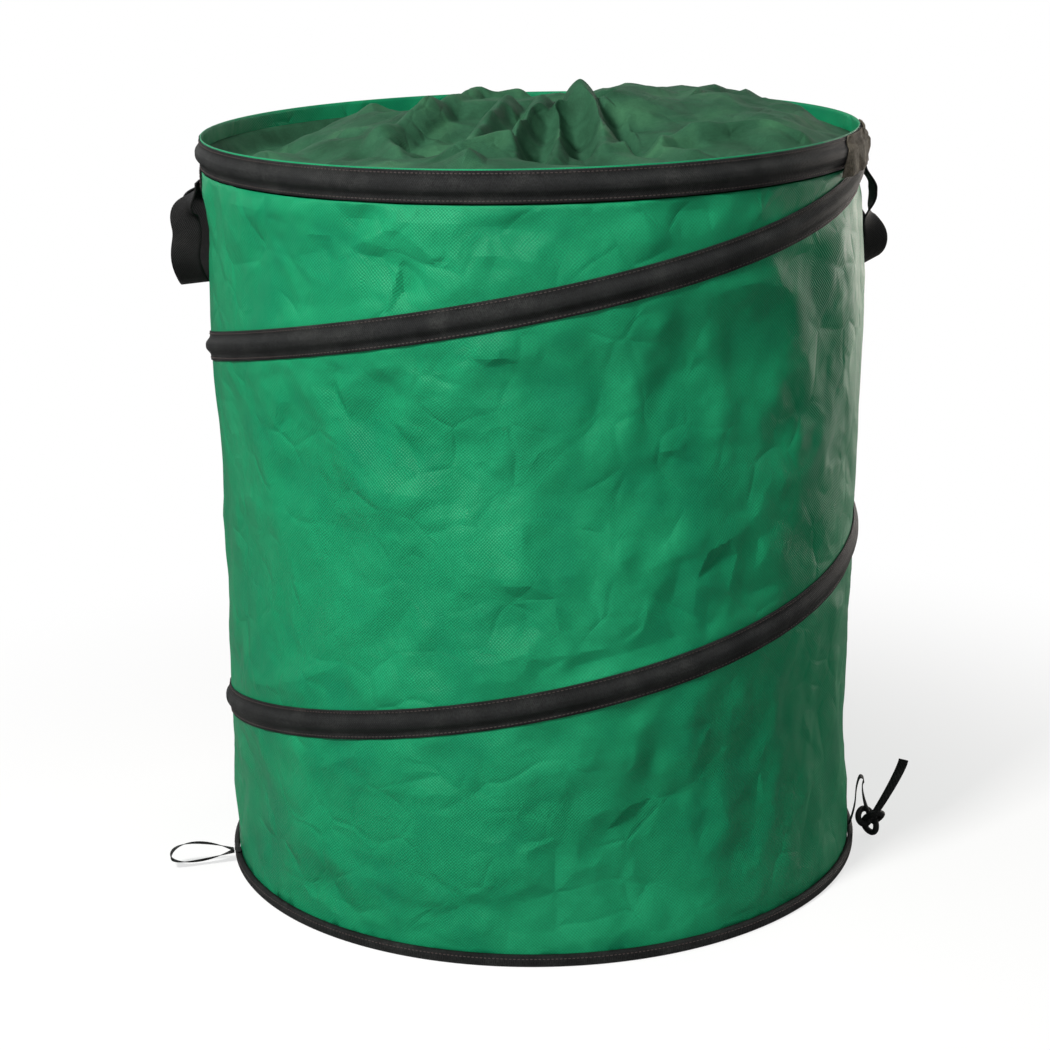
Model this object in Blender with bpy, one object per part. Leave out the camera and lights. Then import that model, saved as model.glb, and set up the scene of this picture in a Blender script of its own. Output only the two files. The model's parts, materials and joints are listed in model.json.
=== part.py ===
"""Pop up leaf bag: a fabric tub that a spiral of spring wire holds open.

Two wire hoops sit in bindings at the rim and at the floor. A third wire winds down between them in
a tape sewn to the wall. The rim and all that is sewn to it moves straight down when the bag is
pressed flat. A gathered collar closes the top, and webbing handles hang from the rim.
The front faces -Y, and the origin is the middle of the base, on the floor.
"""
from math import cos, degrees, pi, radians, sin, sqrt, tau

import bpy
from mathutils import Matrix, Vector

for old in list(bpy.data.objects):
    bpy.data.objects.remove(old, do_unlink=True)

MM = 0.001
UP = Vector((0, 0, 1))
FULL_CIRCLE = 360
SHARP_EDGE = radians(40)
ROUND_SIDES = 8

# The tub: its outer radius at the hoops, its height and how many flats the round is drawn with
RADIUS = 280 * MM
HEIGHT = 650 * MM
SEGMENTS = 48

# Fabric, wire and tape
FABRIC = 0.8 * MM
BASE_FABRIC = 1.2 * MM
WIRE_RADIUS = 1.5 * MM
FERRULE_WALL = 0.3 * MM
TAPE = 0.8 * MM
TAPE_WIDTH = 25 * MM
CHANNEL_HALF = 2 * MM
CHANNEL_FOOT = 6 * MM
RIM_EDGE = 1 * MM
BINDING_HEIGHT = 10 * MM
BINDING_ROUND = 1.6 * MM

# The clearance between touching pieces
GAP = 0.3 * MM

# The spiral of the spring wire, going down clockwise seen from above
PITCH = 320 * MM
SPIRAL_TOP_AZIMUTH = radians(13)
TURNS_SEARCHED = 3
TAPE_END_WIDTH = 3 * MM

# How far the wall is drawn in between two wires, and its slanting folds
DRAW_IN = 8 * MM
WALL_FOLD = 4 * MM
WALL_FOLDS = 7
WALL_FOLD_TWIST = 2.5
WALL_ROWS = 9

# The joint of the rim tape, folded over where the spiral meets the rim
PATCH_AZIMUTHS = (radians(-30), 0)

# The wire hoops are closed at the back by crimped sleeves, one flat long
FERRULE_AZIMUTH = radians(90)

# The collar: cloth sewn in below the rim's edge and gathered to a mouth, off the middle
MOUTH_X = 48 * MM
MOUTH_Y = -8 * MM
MOUTH_RADIUS = 27 * MM
MOUTH_TWIST = radians(25)
COLLAR_FABRIC = 0.6 * MM
COLLAR_SEAM_DROP = 14 * MM
COLLAR_ROWS = 8
NORMAL_STEP = 0.01
# How the collar lies along lines from its seam to the mouth: the azimuth that a line starts from, and
# its height over the rim, in millimetres, a quarter, half and three quarters of the way and at its end
COLLAR_LIE = (
    (22.5, 9, 17, 21, 34),
    (37.5, 12, 20, 24, 33),
    (52.5, 6, 20, 24, 32),
    (75, -6, 8, 18, 29),
    (97.5, -12, -5, 6, 26),
    (120, -12, -6, 4, 22),
    (142.5, -10, -2, 6, 22),
    (160, -7, 5, 11, 22),
    (172.5, -16, 3, 21, 23),
    (187.5, -16, -8, 22, 24),
    (202.5, -4, -1, 12, 25),
    (210, -6, 6, 9, 26),
    (225, -10, -3, 16, 27),
    (240, -2, 2, 14, 28),
    (252, 0, 7, 19, 29),
    (261, -3, 9, 20, 30),
    (268, -7, 4, 19, 31),
    (275, -8, -1, 15, 32),
    (282, -8, -1, 18, 33),
    (289, -7, 4, 19, 34),
    (296, -6, 2, 14, 34),
    (305, -5, -1, 12, 34),
    (315, -2, 4, 12, 34),
    (330, 5, 8, 17, 35),
    (345, 7, 11, 20, 36),
)

# Carry handles of webbing, one on each side
WEBBING_WIDTH = 25 * MM
WEBBING = 1.5 * MM
HANDLE_DROP = 92 * MM
HANDLE_HALF = 35 * MM
HANDLE_CLEAR = 8 * MM
HANDLE_CLEAR_DROP = 24 * MM
HANDLE_FLAT = 6 * MM
TAB_HEIGHT = 19 * MM
TAB_BELOW_HINGE = 7 * MM
LEFT_HANDLE_AZIMUTH = radians(179)
RIGHT_HANDLE_AZIMUTH = radians(7.5)
STRAIGHT_STEPS = 10
BEND_STEPS = 14
TAB_STEPS = 4

# The narrow tape of the closing loop and the knotted tie at the floor
NARROW_WIDTH = 9 * MM
NARROW = 0.6 * MM
LOOP_AZIMUTH = radians(192.5)
LOOP_LENGTH = 57 * MM
LOOP_RISE = 11 * MM
LOOP_FALL = 6.5 * MM
LOOP_ROOT = 6.9 * MM
LOOP_TAB_LIFT = 1 * MM
LOOP_PLY = 0.5 * MM
LOOP_TWIST = radians(35)
SWELL_PEAK_SHARE = 0.77
LOOP_STEPS = 40

TIE_AZIMUTH = radians(-5.2)
KNOT_SIZE = 4 * MM
KNOT_DEPTH = 6 * MM
KNOT_STRAND = 2.8 * MM
KNOT_OUT = 21 * MM
KNOT_STEPS = 44
KNOT_STEPS_APART = 8
KNOT_LOBES = 3
KNOT_END_SHARE = 0.035
KNOT_LEAD = 16 * MM
STRAND_STEPS = 10
# Places (out from the wall, up from the floor) along the tie's sewn root, and its tail
TIE_ROOT = (
    (0.8 * MM, 11.2 * MM),
    (3.4 * MM, 15 * MM),
    (6.8 * MM, 30 * MM),
    (8 * MM, 46 * MM),
    (10.4 * MM, 56 * MM),
    (13.4 * MM, 56.4 * MM),
    (14.6 * MM, 53.4 * MM),
)
TIE_ROOT_STEPS = 3
TIE_HINGE = (14.8 * MM, 52.6 * MM)
TAIL_TIP = (50 * MM, 74 * MM)
TAIL_LEAN = 26 * MM

# Worked out from the sizes above
SEGMENT = tau / SEGMENTS
FERRULE_RADIUS = WIRE_RADIUS + FERRULE_WALL
WIRE_OUT = GAP + FERRULE_RADIUS
CHANNEL_DEPTH = WIRE_OUT + FERRULE_RADIUS + GAP
BULGE = CHANNEL_DEPTH + TAPE
RIM_TAPE_TOP = HEIGHT - RIM_EDGE
RIM_TAPE_LOW = RIM_TAPE_TOP - TAPE_WIDTH
RIM_WIRE_Z = RIM_TAPE_TOP - TAPE_WIDTH / 2
FLOOR_WIRE_Z = BINDING_HEIGHT / 2
SPIRAL_LOW = BINDING_HEIGHT + GAP
SPIRAL_HIGH = RIM_TAPE_LOW - GAP
HINGE_Z = RIM_TAPE_LOW - GAP - TAB_HEIGHT + TAB_BELOW_HINGE
OVER_WALL = RADIUS + GAP
OVER_TAPE = OVER_WALL + TAPE + GAP
LOOP_HINGE_Z = BINDING_HEIGHT + LOOP_TAB_LIFT + LOOP_PLY


def finish(name, colour, roughness, metallic=0.0):
    """A plain material in the piece's own colour."""
    made = bpy.data.materials.new(name)
    made.use_nodes = True
    shader = made.node_tree.nodes["Principled BSDF"]
    shader.inputs["Base Color"].default_value = (*colour, 1)
    shader.inputs["Roughness"].default_value = roughness
    shader.inputs["Metallic"].default_value = metallic
    return made


GREEN = finish("green_oxford", (0.010, 0.235, 0.105), 0.55)
DARK_GREEN = finish("collar_cloth", (0.045, 0.105, 0.060), 0.5)
BLACK_TAPE = finish("black_tape", (0.020, 0.019, 0.017), 0.8)
BLACK_WEBBING = finish("black_webbing", (0.012, 0.012, 0.011), 0.75)
STEEL = finish("spring_steel", (0.45, 0.44, 0.42), 0.35, 1.0)


def around(radius, azimuth, height):
    """A point at a radius and an azimuth about the bag's own axis."""
    return Vector((radius * cos(azimuth), radius * sin(azimuth), height))


def loft(name, rings, look, closed=False):
    """A closed solid through rings of as many points each, joined end to start or capped.

    The two halves of a ring are the two faces of a sheet, so each flat is split along the same
    diagonal on both faces, which keeps a twisted sheet as thick all over.
    """
    sides = len(rings[0])
    count = len(rings)
    points = [point for ring in rings for point in ring]
    faces = []
    for row in range(count if closed else count - 1):
        near = row * sides
        far = (row + 1) % count * sides
        for side in range(sides):
            after = (side + 1) % sides
            corners = (near + side, near + after, far + after, far + side)
            turned = 0 if side < sides // 2 else 1
            faces.append([corners[(turned + corner) % len(corners)] for corner in (0, 1, 2)])
            faces.append([corners[(turned + corner) % len(corners)] for corner in (0, 2, 3)])
    if not closed:
        faces.append(tuple(reversed(range(sides))))
        faces.append(tuple(range((count - 1) * sides, count * sides)))
    mesh = bpy.data.meshes.new(name)
    mesh.from_pydata(points, [], faces)
    mesh.materials.append(look)
    mesh.shade_smooth()
    mesh.set_sharp_from_angle(angle=SHARP_EDGE)
    made = bpy.data.objects.new(name, mesh)
    bpy.context.collection.objects.link(made)
    turn_outwards(made)
    return made


def turn_outwards(made):
    """Flip a solid whose faces point in, which shows as a negative volume."""
    mesh = made.data
    mesh.calc_loop_triangles()
    volume = 0
    for face in mesh.loop_triangles:
        a, b, c = (mesh.vertices[index].co for index in face.vertices)
        volume += a.dot(b.cross(c))
    if volume < 0:
        mesh.flip_normals()


def place_hinge(made, point):
    """Put a moving piece's origin on its hinge without moving the piece."""
    made.data.transform(Matrix.Translation(-point))
    made.location = point


def eased(share):
    """A share that starts and ends gently."""
    share = min(1, max(0, share))
    return share * share * (3 - 2 * share)


def between(start, start_run, end, end_run, share):
    """A value on the smooth curve that leaves and arrives with the given runs."""
    stay = 1 - eased(share)
    leave = share ** 3 - 2 * share ** 2 + share
    arrive = share ** 3 - share ** 2
    return start * stay + start_run * leave + end * (1 - stay) + end_run * arrive


def smooth_at(values, place):
    """The value at a place, counted in steps, on the smooth curve through all the values."""
    last = len(values) - 1
    first = min(int(place), last - 1)
    runs = [(values[min(index + 1, last)] - values[max(index - 1, 0)]) / 2
            for index in (first, first + 1)]
    return between(values[first], runs[0], values[first + 1], runs[1], place - first)


def curve_between(start, start_run, end, end_run):
    """Points of a strand from its start up to, but without, its end."""
    return [between(start, start_run, end, end_run, step / STRAND_STEPS)
            for step in range(STRAND_STEPS)]


def azimuths(start, count):
    """Azimuths on the bag's own flats, going anticlockwise seen from above."""
    return [start + SEGMENT * index for index in range(count)]


def circle_section(radius, out, height):
    """A round section in the plane through the bag's axis: pairs of radius and height."""
    turns = [tau * side / ROUND_SIDES for side in range(ROUND_SIDES)]
    return [(RADIUS + out + radius * cos(turn), height + radius * sin(turn)) for turn in turns]


def tape_section(across, depths, height):
    """A tape's section: its inner face up the wall, and its outer face back down."""
    inner = [(RADIUS + depth, height + place) for place, depth in zip(across, depths)]
    outer = [(radius + TAPE, place) for radius, place in reversed(inner)]
    return inner + outer


def set_at(section, azimuth):
    """A section's points turned to an azimuth."""
    return [around(radius, azimuth, height) for radius, height in section]


TAPE_ACROSS = (
    -TAPE_WIDTH / 2,
    -CHANNEL_FOOT,
    -CHANNEL_HALF,
    CHANNEL_HALF,
    CHANNEL_FOOT,
    TAPE_WIDTH / 2,
)
TAPE_DEPTHS = (GAP, GAP, CHANNEL_DEPTH, CHANNEL_DEPTH, GAP, GAP)
FLAT_DEPTHS = (GAP,) * len(TAPE_ACROSS)


# The spiral


def spiral_z(azimuth):
    """Height of the spiral wire where it has turned to this azimuth, counted on past one turn."""
    return RIM_WIRE_Z - PITCH * (SPIRAL_TOP_AZIMUTH - azimuth) / tau


def grid_azimuth_at(height):
    """The last azimuth on the flats, going down, where the spiral is still above a height."""
    steps = (spiral_z(0) - height) / PITCH * SEGMENTS
    return -SEGMENT * int(steps)


def spiral_tape_section(azimuth):
    """The tape over the spiral wire, cut off level where the two bindings cover it."""
    height = spiral_z(azimuth)
    low = max(-TAPE_WIDTH / 2, SPIRAL_LOW - height)
    high = min(TAPE_WIDTH / 2, SPIRAL_HIGH - height)
    if low <= -CHANNEL_FOOT and high >= CHANNEL_FOOT:
        across = (low, *TAPE_ACROSS[1:-1], high)
        return tape_section(across, TAPE_DEPTHS, height)
    shares = [(place + TAPE_WIDTH / 2) / TAPE_WIDTH for place in TAPE_ACROSS]
    across = [low + (high - low) * share for share in shares]
    return tape_section(across, FLAT_DEPTHS, height)


def covered_span(height_of_start, height_of_end):
    """Azimuths from the first flat below one height down to the last above another."""
    start = grid_azimuth_at(height_of_start) - SEGMENT
    end = grid_azimuth_at(height_of_end)
    count = round((start - end) / SEGMENT) + 1
    return list(reversed(azimuths(end, count)))


def make_spiral():
    """The middle wire in one unbroken winding, and the tape that holds it to the wall."""
    wired = covered_span(SPIRAL_HIGH - CHANNEL_FOOT, SPIRAL_LOW + CHANNEL_FOOT)
    rings = [set_at(circle_section(WIRE_RADIUS, WIRE_OUT, spiral_z(turn)), turn) for turn in wired]
    loft("spiral_wire", rings, STEEL)
    report_gap("spiral wire", [around(RADIUS + WIRE_OUT, turn, spiral_z(turn)) for turn in wired],
               WIRE_RADIUS, SEGMENTS // 2)
    reach = TAPE_WIDTH / 2 - TAPE_END_WIDTH
    taped = covered_span(SPIRAL_HIGH + reach, SPIRAL_LOW - reach)
    loft("spiral_tape", [set_at(spiral_tape_section(turn), turn) for turn in taped], BLACK_TAPE)


def report_gap(name, points, radius, apart):
    """Print the least gap that a winding leaves to itself, measured on its middle line."""
    gap = min(
        (points[first] - points[second]).length - 2 * radius
        for first in range(len(points))
        for second in range(first + apart, len(points))
    )
    print(name, "least gap to itself, mm:", round(gap / MM, 2))


# The wall and the base


def wire_heights(azimuth):
    """Heights of every wire that crosses this azimuth, from the floor up."""
    heights = [FLOOR_WIRE_Z, RIM_WIRE_Z]
    turned = azimuth - tau * TURNS_SEARCHED
    while turned < SPIRAL_TOP_AZIMUTH:
        if FLOOR_WIRE_Z < spiral_z(turned) < RIM_WIRE_Z:
            heights.append(spiral_z(turned))
        turned += tau
    return sorted(heights)


def wall_draw(azimuth, height):
    """How far the fabric lies inside the hoops' radius: nothing at a wire, most midway."""
    heights = wire_heights(azimuth)
    for low, high in zip(heights, heights[1:]):
        if low < height < high:
            share = (height - low) / (high - low)
            span_share = min(1, (high - low) / PITCH)
            fold = (1 + sin(WALL_FOLDS * azimuth + WALL_FOLD_TWIST * tau * height / HEIGHT)) / 2
            return (DRAW_IN + WALL_FOLD * fold) * span_share * sin(pi * share) ** 2
    return 0


def make_wall():
    """The fabric tub, open at both ends, drawn in between its wires."""
    low = BASE_FABRIC + GAP
    first = BINDING_HEIGHT + TAPE_WIDTH / 2
    step = (RIM_TAPE_LOW - first) / WALL_ROWS
    heights = [low, first] + [first + step * (row + 1) for row in range(WALL_ROWS)] + [HEIGHT]
    rings = []
    for azimuth in azimuths(0, SEGMENTS):
        outer = [(RADIUS - wall_draw(azimuth, height), height) for height in heights]
        inner = [(radius - FABRIC, height) for radius, height in reversed(outer)]
        rings.append(set_at(outer + inner, azimuth))
    loft("wall_fabric", rings, GREEN, closed=True)


def make_base():
    """The round floor of the tub, which the bag stands on."""
    rings = [set_at([(RADIUS, height)], turn) for height in (0, BASE_FABRIC)
             for turn in azimuths(0, SEGMENTS)]
    low = [ring[0] for ring in rings[:SEGMENTS]]
    high = [ring[0] for ring in rings[SEGMENTS:]]
    loft("base_panel", [low, high], GREEN)


# The two hoops and their bindings


def make_hoop(name, height):
    """A wire hoop open by one flat, and the crimped sleeve that closes it."""
    wire = circle_section(WIRE_RADIUS, WIRE_OUT, height)
    turns = azimuths(FERRULE_AZIMUTH + SEGMENT, SEGMENTS)
    loft(name + "_hoop_wire", [set_at(wire, turn) for turn in turns], STEEL)
    sleeve = circle_section(FERRULE_RADIUS, WIRE_OUT, height)
    slack = GAP / RADIUS
    ends = (FERRULE_AZIMUTH + slack, FERRULE_AZIMUTH + SEGMENT - slack)
    loft(name + "_hoop_ferrule", [set_at(sleeve, turn) for turn in ends], STEEL)


def make_rim_binding():
    """The tape over the upper hoop, on the outside of the wall."""
    section = tape_section(TAPE_ACROSS, TAPE_DEPTHS, RIM_WIRE_Z)
    loft("top_binding", [set_at(section, turn) for turn in azimuths(0, SEGMENTS)], BLACK_TAPE,
         closed=True)
    start, end = PATCH_AZIMUTHS
    over = [depth + TAPE + GAP for depth in TAPE_DEPTHS]
    patch = tape_section(TAPE_ACROSS, over, RIM_WIRE_Z)
    count = round((end - start) / SEGMENT) + 1
    loft("rim_joint_patch", [set_at(patch, turn) for turn in azimuths(start, count)], BLACK_TAPE)


def make_floor_binding():
    """The narrow folded tape over the lower hoop: a channel open towards the wall."""
    corner = BULGE - BINDING_ROUND
    top = BINDING_HEIGHT
    inner_corner = CHANNEL_DEPTH - BINDING_ROUND / 2
    inner_top = top - TAPE
    section = [
        (RADIUS + GAP, 0),
        (RADIUS + corner, 0),
        (RADIUS + BULGE, BINDING_ROUND),
        (RADIUS + BULGE, top - BINDING_ROUND),
        (RADIUS + corner, top),
        (RADIUS + GAP, top),
        (RADIUS + GAP, inner_top),
        (RADIUS + inner_corner, inner_top),
        (RADIUS + CHANNEL_DEPTH, inner_top - BINDING_ROUND / 2),
        (RADIUS + CHANNEL_DEPTH, TAPE + BINDING_ROUND / 2),
        (RADIUS + inner_corner, TAPE),
        (RADIUS + GAP, TAPE),
    ]
    loft("bottom_binding", [set_at(section, turn) for turn in azimuths(0, SEGMENTS)], BLACK_TAPE,
         closed=True)


# The collar


def lie_along(line, share):
    """Height over the rim along one line of the collar."""
    heights = [value * MM for value in line[1:]]
    return smooth_at([-COLLAR_SEAM_DROP] + heights, share * len(heights))


def collar_height(share, azimuth):
    """Height over the rim between two lines of the collar."""
    turn = degrees(azimuth) % FULL_CIRCLE
    after = next((index for index, line in enumerate(COLLAR_LIE) if line[0] > turn), 0)
    low, high = COLLAR_LIE[after - 1], COLLAR_LIE[after]
    step = (high[0] - low[0]) % FULL_CIRCLE
    passed = eased((turn - low[0]) % FULL_CIRCLE / step)
    return lie_along(low, share) * (1 - passed) + lie_along(high, share) * passed


def collar_point(share, azimuth):
    """The collar's upper face, from its seam (share 0) to the gathered mouth (share 1)."""
    seam = around(RADIUS - FABRIC - GAP - COLLAR_FABRIC, azimuth, HEIGHT)
    mouth = around(MOUTH_RADIUS, azimuth - MOUTH_TWIST, HEIGHT) + Vector((MOUTH_X, MOUTH_Y, 0))
    return seam.lerp(mouth, share) + UP * collar_height(share, azimuth)


def collar_normal(share, azimuth):
    """The way the collar's upper face looks, from small steps along it and across it."""
    low, high = max(share - NORMAL_STEP, 0), min(share + NORMAL_STEP, 1)
    along = collar_point(high, azimuth) - collar_point(low, azimuth)
    across = collar_point(share, azimuth + NORMAL_STEP) - collar_point(share, azimuth - NORMAL_STEP)
    return along.cross(across).normalized()


def make_collar():
    """The soft cover sewn inside the rim, drawn together round an open mouth."""
    shares = [row / COLLAR_ROWS for row in range(COLLAR_ROWS + 1)]
    rings = []
    for azimuth in azimuths(0, SEGMENTS):
        upper = [collar_point(share, azimuth) for share in shares]
        normals = [collar_normal(share, azimuth) for share in shares]
        down = [-normal if normal.z > 0 else normal for normal in normals]
        lower = [point + step * COLLAR_FABRIC for point, step in zip(upper, down)]
        rings.append(upper + lower[::-1])
    loft("collar", rings, DARK_GREEN, closed=True)


# Straps of flat tape


class Side:
    """A place on the wall: tells out from the axis, along the wall and up apart."""

    def __init__(self, azimuth):
        self.out = around(1, azimuth, 0)
        self.along = UP.cross(self.out)

    def at(self, along, out, up):
        """A point by its distances from the axis plane, from the axis and from the floor."""
        return self.out * out + self.along * along + UP * up


def strap(name, stations, look):
    """A flat strap through stations of a middle point, half a width and half a thickness."""
    rings = [
        [point - side - face, point + side - face, point + side + face, point - side + face]
        for point, side, face in stations
    ]
    return loft(name, rings, look)


def strap_stations(points, sides, width, thickness):
    """Stations for a strap whose width points along the given sides."""
    stations = []
    last = len(points) - 1
    for index, point in enumerate(points):
        run = points[min(index + 1, last)] - points[max(index - 1, 0)]
        side = sides[index] - run * (sides[index].dot(run) / run.dot(run))
        side.normalize()
        face = run.cross(side).normalized()
        stations.append((point, side * width / 2, face * thickness / 2))
    return stations


def handle_line(side, hinge_out):
    """A handle's middle line and the way its width points, from one sewn end to the other."""
    straight = HANDLE_DROP - HANDLE_HALF
    places = [(-HANDLE_HALF, straight * step / STRAIGHT_STEPS) for step in range(STRAIGHT_STEPS)]
    for step in range(BEND_STEPS + 1):
        turn = pi * step / BEND_STEPS
        places.append((-HANDLE_HALF * cos(turn), straight + HANDLE_HALF * sin(turn)))
    places += [(-along, drop) for along, drop in reversed(places[:STRAIGHT_STEPS])]
    points = []
    sides = []
    for along, drop in places:
        twist = pi / 2 * eased((drop - HANDLE_FLAT) / (straight - HANDLE_FLAT))
        inner = hinge_out + HANDLE_CLEAR * eased(drop / HANDLE_CLEAR_DROP)
        out = inner + WEBBING_WIDTH / 2 * sin(twist)
        points.append(side.at(along, out, HINGE_Z - drop))
        sign = -1 if along > 0 else 1
        sides.append(side.along * cos(twist) * sign + side.out * sin(twist))
    return points, sides


def make_handle(name, azimuth, seat):
    """One carry handle, hanging, and the two sewn ends that hold it under the rim."""
    side = Side(azimuth)
    face = sqrt(seat ** 2 - (HANDLE_HALF - WEBBING_WIDTH / 2) ** 2) + WEBBING
    hinge_out = face + GAP + WEBBING / 2
    points, sides = handle_line(side, hinge_out)
    made = strap(name, strap_stations(points, sides, WEBBING_WIDTH, WEBBING), BLACK_WEBBING)
    place_hinge(made, side.at(0, hinge_out, HINGE_Z))
    top = RIM_TAPE_LOW - GAP
    front = -1 if side.along.y > 0 else 1
    for end, middle in (("front", HANDLE_HALF * front), ("rear", -HANDLE_HALF * front)):
        rings = []
        for step in range(TAB_STEPS + 1):
            along = middle - WEBBING_WIDTH / 2 + WEBBING_WIDTH * step / TAB_STEPS
            back = sqrt(seat ** 2 - along ** 2)
            corners = ((back, top), (back, top - TAB_HEIGHT), (face, top - TAB_HEIGHT),
                       (face, top))
            rings.append([side.at(along, out, up) for out, up in corners])
        loft(name + "_" + end + "_tab", rings, BLACK_WEBBING)


def make_loop():
    """The closing loop of narrow tape, lying on the floor, and the tab that it is sewn to."""
    side = Side(LOOP_AZIMUTH)
    root = RADIUS + LOOP_ROOT
    tab_end = root - LOOP_PLY - NARROW / 2 - GAP / 2
    half = NARROW / 2 + LOOP_PLY
    seat = OVER_WALL
    corners = ((seat, LOOP_HINGE_Z - half), (tab_end, LOOP_HINGE_Z - half),
               (tab_end, LOOP_HINGE_Z + half), (seat, LOOP_HINGE_Z + half))
    rings = [[side.at(along, out, up) for out, up in corners]
             for along in (-NARROW_WIDTH / 2, NARROW_WIDTH / 2)]
    loft("loop_tab", rings, BLACK_TAPE)
    points = []
    sides = []
    for step in range(LOOP_STEPS + 1):
        share = step / LOOP_STEPS
        out = root + LOOP_LENGTH * (1 - cos(tau * share)) / 2
        swell = sin(tau * share) * sin(pi * share) / SWELL_PEAK_SHARE
        spread = LOOP_RISE * max(swell, 0) + LOOP_FALL * min(swell, 0)
        twist = LOOP_TWIST * sin(tau * share) ** 2
        up = LOOP_HINGE_Z + LOOP_PLY * cos(pi * share) + spread
        points.append(side.at(0, out, up))
        sides.append(side.along * cos(twist) + UP * sin(twist))
    stations = strap_stations(points, sides, NARROW_WIDTH, NARROW)
    made = strap("bottom_loop", stations, BLACK_TAPE)
    place_hinge(made, side.at(0, root, LOOP_HINGE_Z))


# The knotted tie


def knot_point(side, share):
    """A point on the overhand knot: a three lobed winding that crosses over itself."""
    turn = tau * share
    out = KNOT_SIZE * (sin(turn) + 2 * sin(2 * turn))
    up = KNOT_SIZE * (cos(turn) - 2 * cos(2 * turn))
    along = KNOT_DEPTH * sin(KNOT_LOBES * turn)
    middle = RADIUS + KNOT_OUT
    lift = KNOT_LOBES * KNOT_SIZE + KNOT_STRAND
    return side.at(along, middle + out, lift + up)


def oval_rings(points, halves, start_side):
    """Oval sections along a route, turned as little as the route lets them."""
    rings = []
    across = start_side
    last = len(points) - 1
    for index, point in enumerate(points):
        run = (points[min(index + 1, last)] - points[max(index - 1, 0)]).normalized()
        across = (across - run * across.dot(run)).normalized()
        face = run.cross(across)
        wide, thick = halves[index]
        rings.append([
            point + across * wide * cos(tau * turn / ROUND_SIDES)
            + face * thick * sin(tau * turn / ROUND_SIDES)
            for turn in range(ROUND_SIDES)
        ])
    return rings


def make_tie():
    """The tie: narrow tape sewn at the floor seam, knotted on itself, its tail standing up."""
    side = Side(TIE_AZIMUTH)
    root = [side.at(0, RADIUS + out, up) for out, up in TIE_ROOT]
    root_steps = TIE_ROOT_STEPS * (len(root) - 1)
    root_points = [smooth_at(root, step / TIE_ROOT_STEPS) for step in range(root_steps + 1)]
    stations = strap_stations(root_points, [side.along] * len(root_points), NARROW_WIDTH, NARROW)
    strap("tie_root", stations, BLACK_TAPE)
    hinge = side.at(0, RADIUS + TIE_HINGE[0], TIE_HINGE[1])
    shares = [KNOT_END_SHARE + (1 - 2 * KNOT_END_SHARE) * step / KNOT_STEPS
              for step in range(KNOT_STEPS + 1)]
    knot = [knot_point(side, share) for share in shares]
    entry_run = (knot[1] - knot[0]).normalized() * KNOT_LEAD
    exit_run = (knot[-1] - knot[-2]).normalized() * KNOT_LEAD
    lead = curve_between(hinge, UP * -KNOT_LEAD - side.out * KNOT_LEAD, knot[0], entry_run)
    tip = side.at(0, RADIUS + TAIL_TIP[0], TAIL_TIP[1])
    tail = curve_between(knot[-1], exit_run, tip, UP * TAIL_LEAN)[1:] + [tip]
    points = lead + knot + tail
    flat = (NARROW_WIDTH / 2, NARROW / 2)
    halves = []
    for index in range(len(points)):
        into = eased(index / len(lead))
        out_of = eased((len(points) - 1 - index) / len(tail))
        share = min(into, out_of)
        halves.append([edge + (KNOT_STRAND - edge) * share for edge in flat])
    made = loft("tie_strap", oval_rings(points, halves, side.along), BLACK_TAPE)
    place_hinge(made, hinge)
    report_gap("tie knot", knot, KNOT_STRAND, KNOT_STEPS_APART)


make_base()
make_hoop("bottom", FLOOR_WIRE_Z)
make_floor_binding()
make_wall()
make_spiral()
make_hoop("top", RIM_WIRE_Z)
make_rim_binding()
make_collar()
make_handle("left_handle", LEFT_HANDLE_AZIMUTH, OVER_WALL)
make_handle("right_handle", RIGHT_HANDLE_AZIMUTH, OVER_TAPE)
make_loop()
make_tie()
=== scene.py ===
"""Pop up leaf bag: the cloth, tapes, stitching, straps and light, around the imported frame."""
import json
import random
from math import cos, degrees, pi, radians, sin, sqrt, tau

import bmesh
import bpy
import numpy as np
from mathutils import Matrix, Vector
from mathutils.bvhtree import BVHTree
from mathutils.geometry import delaunay_2d_cdt

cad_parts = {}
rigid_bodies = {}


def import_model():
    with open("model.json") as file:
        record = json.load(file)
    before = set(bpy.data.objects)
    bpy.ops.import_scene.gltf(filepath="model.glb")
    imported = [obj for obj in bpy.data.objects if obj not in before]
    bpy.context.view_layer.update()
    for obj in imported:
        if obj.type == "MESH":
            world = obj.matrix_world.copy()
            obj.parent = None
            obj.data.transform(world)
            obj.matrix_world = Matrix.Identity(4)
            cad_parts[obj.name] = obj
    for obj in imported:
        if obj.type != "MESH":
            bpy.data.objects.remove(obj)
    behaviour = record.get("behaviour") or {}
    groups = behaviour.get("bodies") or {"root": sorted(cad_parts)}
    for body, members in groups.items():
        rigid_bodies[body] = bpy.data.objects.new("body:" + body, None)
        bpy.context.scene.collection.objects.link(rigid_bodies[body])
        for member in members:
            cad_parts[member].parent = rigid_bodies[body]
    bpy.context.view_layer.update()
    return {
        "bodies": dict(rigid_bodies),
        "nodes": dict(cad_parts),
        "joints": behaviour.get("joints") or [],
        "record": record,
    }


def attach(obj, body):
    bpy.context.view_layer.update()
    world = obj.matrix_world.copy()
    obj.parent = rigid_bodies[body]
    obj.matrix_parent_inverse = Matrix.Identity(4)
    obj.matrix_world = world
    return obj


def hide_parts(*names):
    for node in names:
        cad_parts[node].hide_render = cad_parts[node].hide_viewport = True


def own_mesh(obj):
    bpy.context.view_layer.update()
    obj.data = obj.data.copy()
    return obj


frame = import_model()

MM = 0.001
UP = Vector((0, 0, 1))

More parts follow.
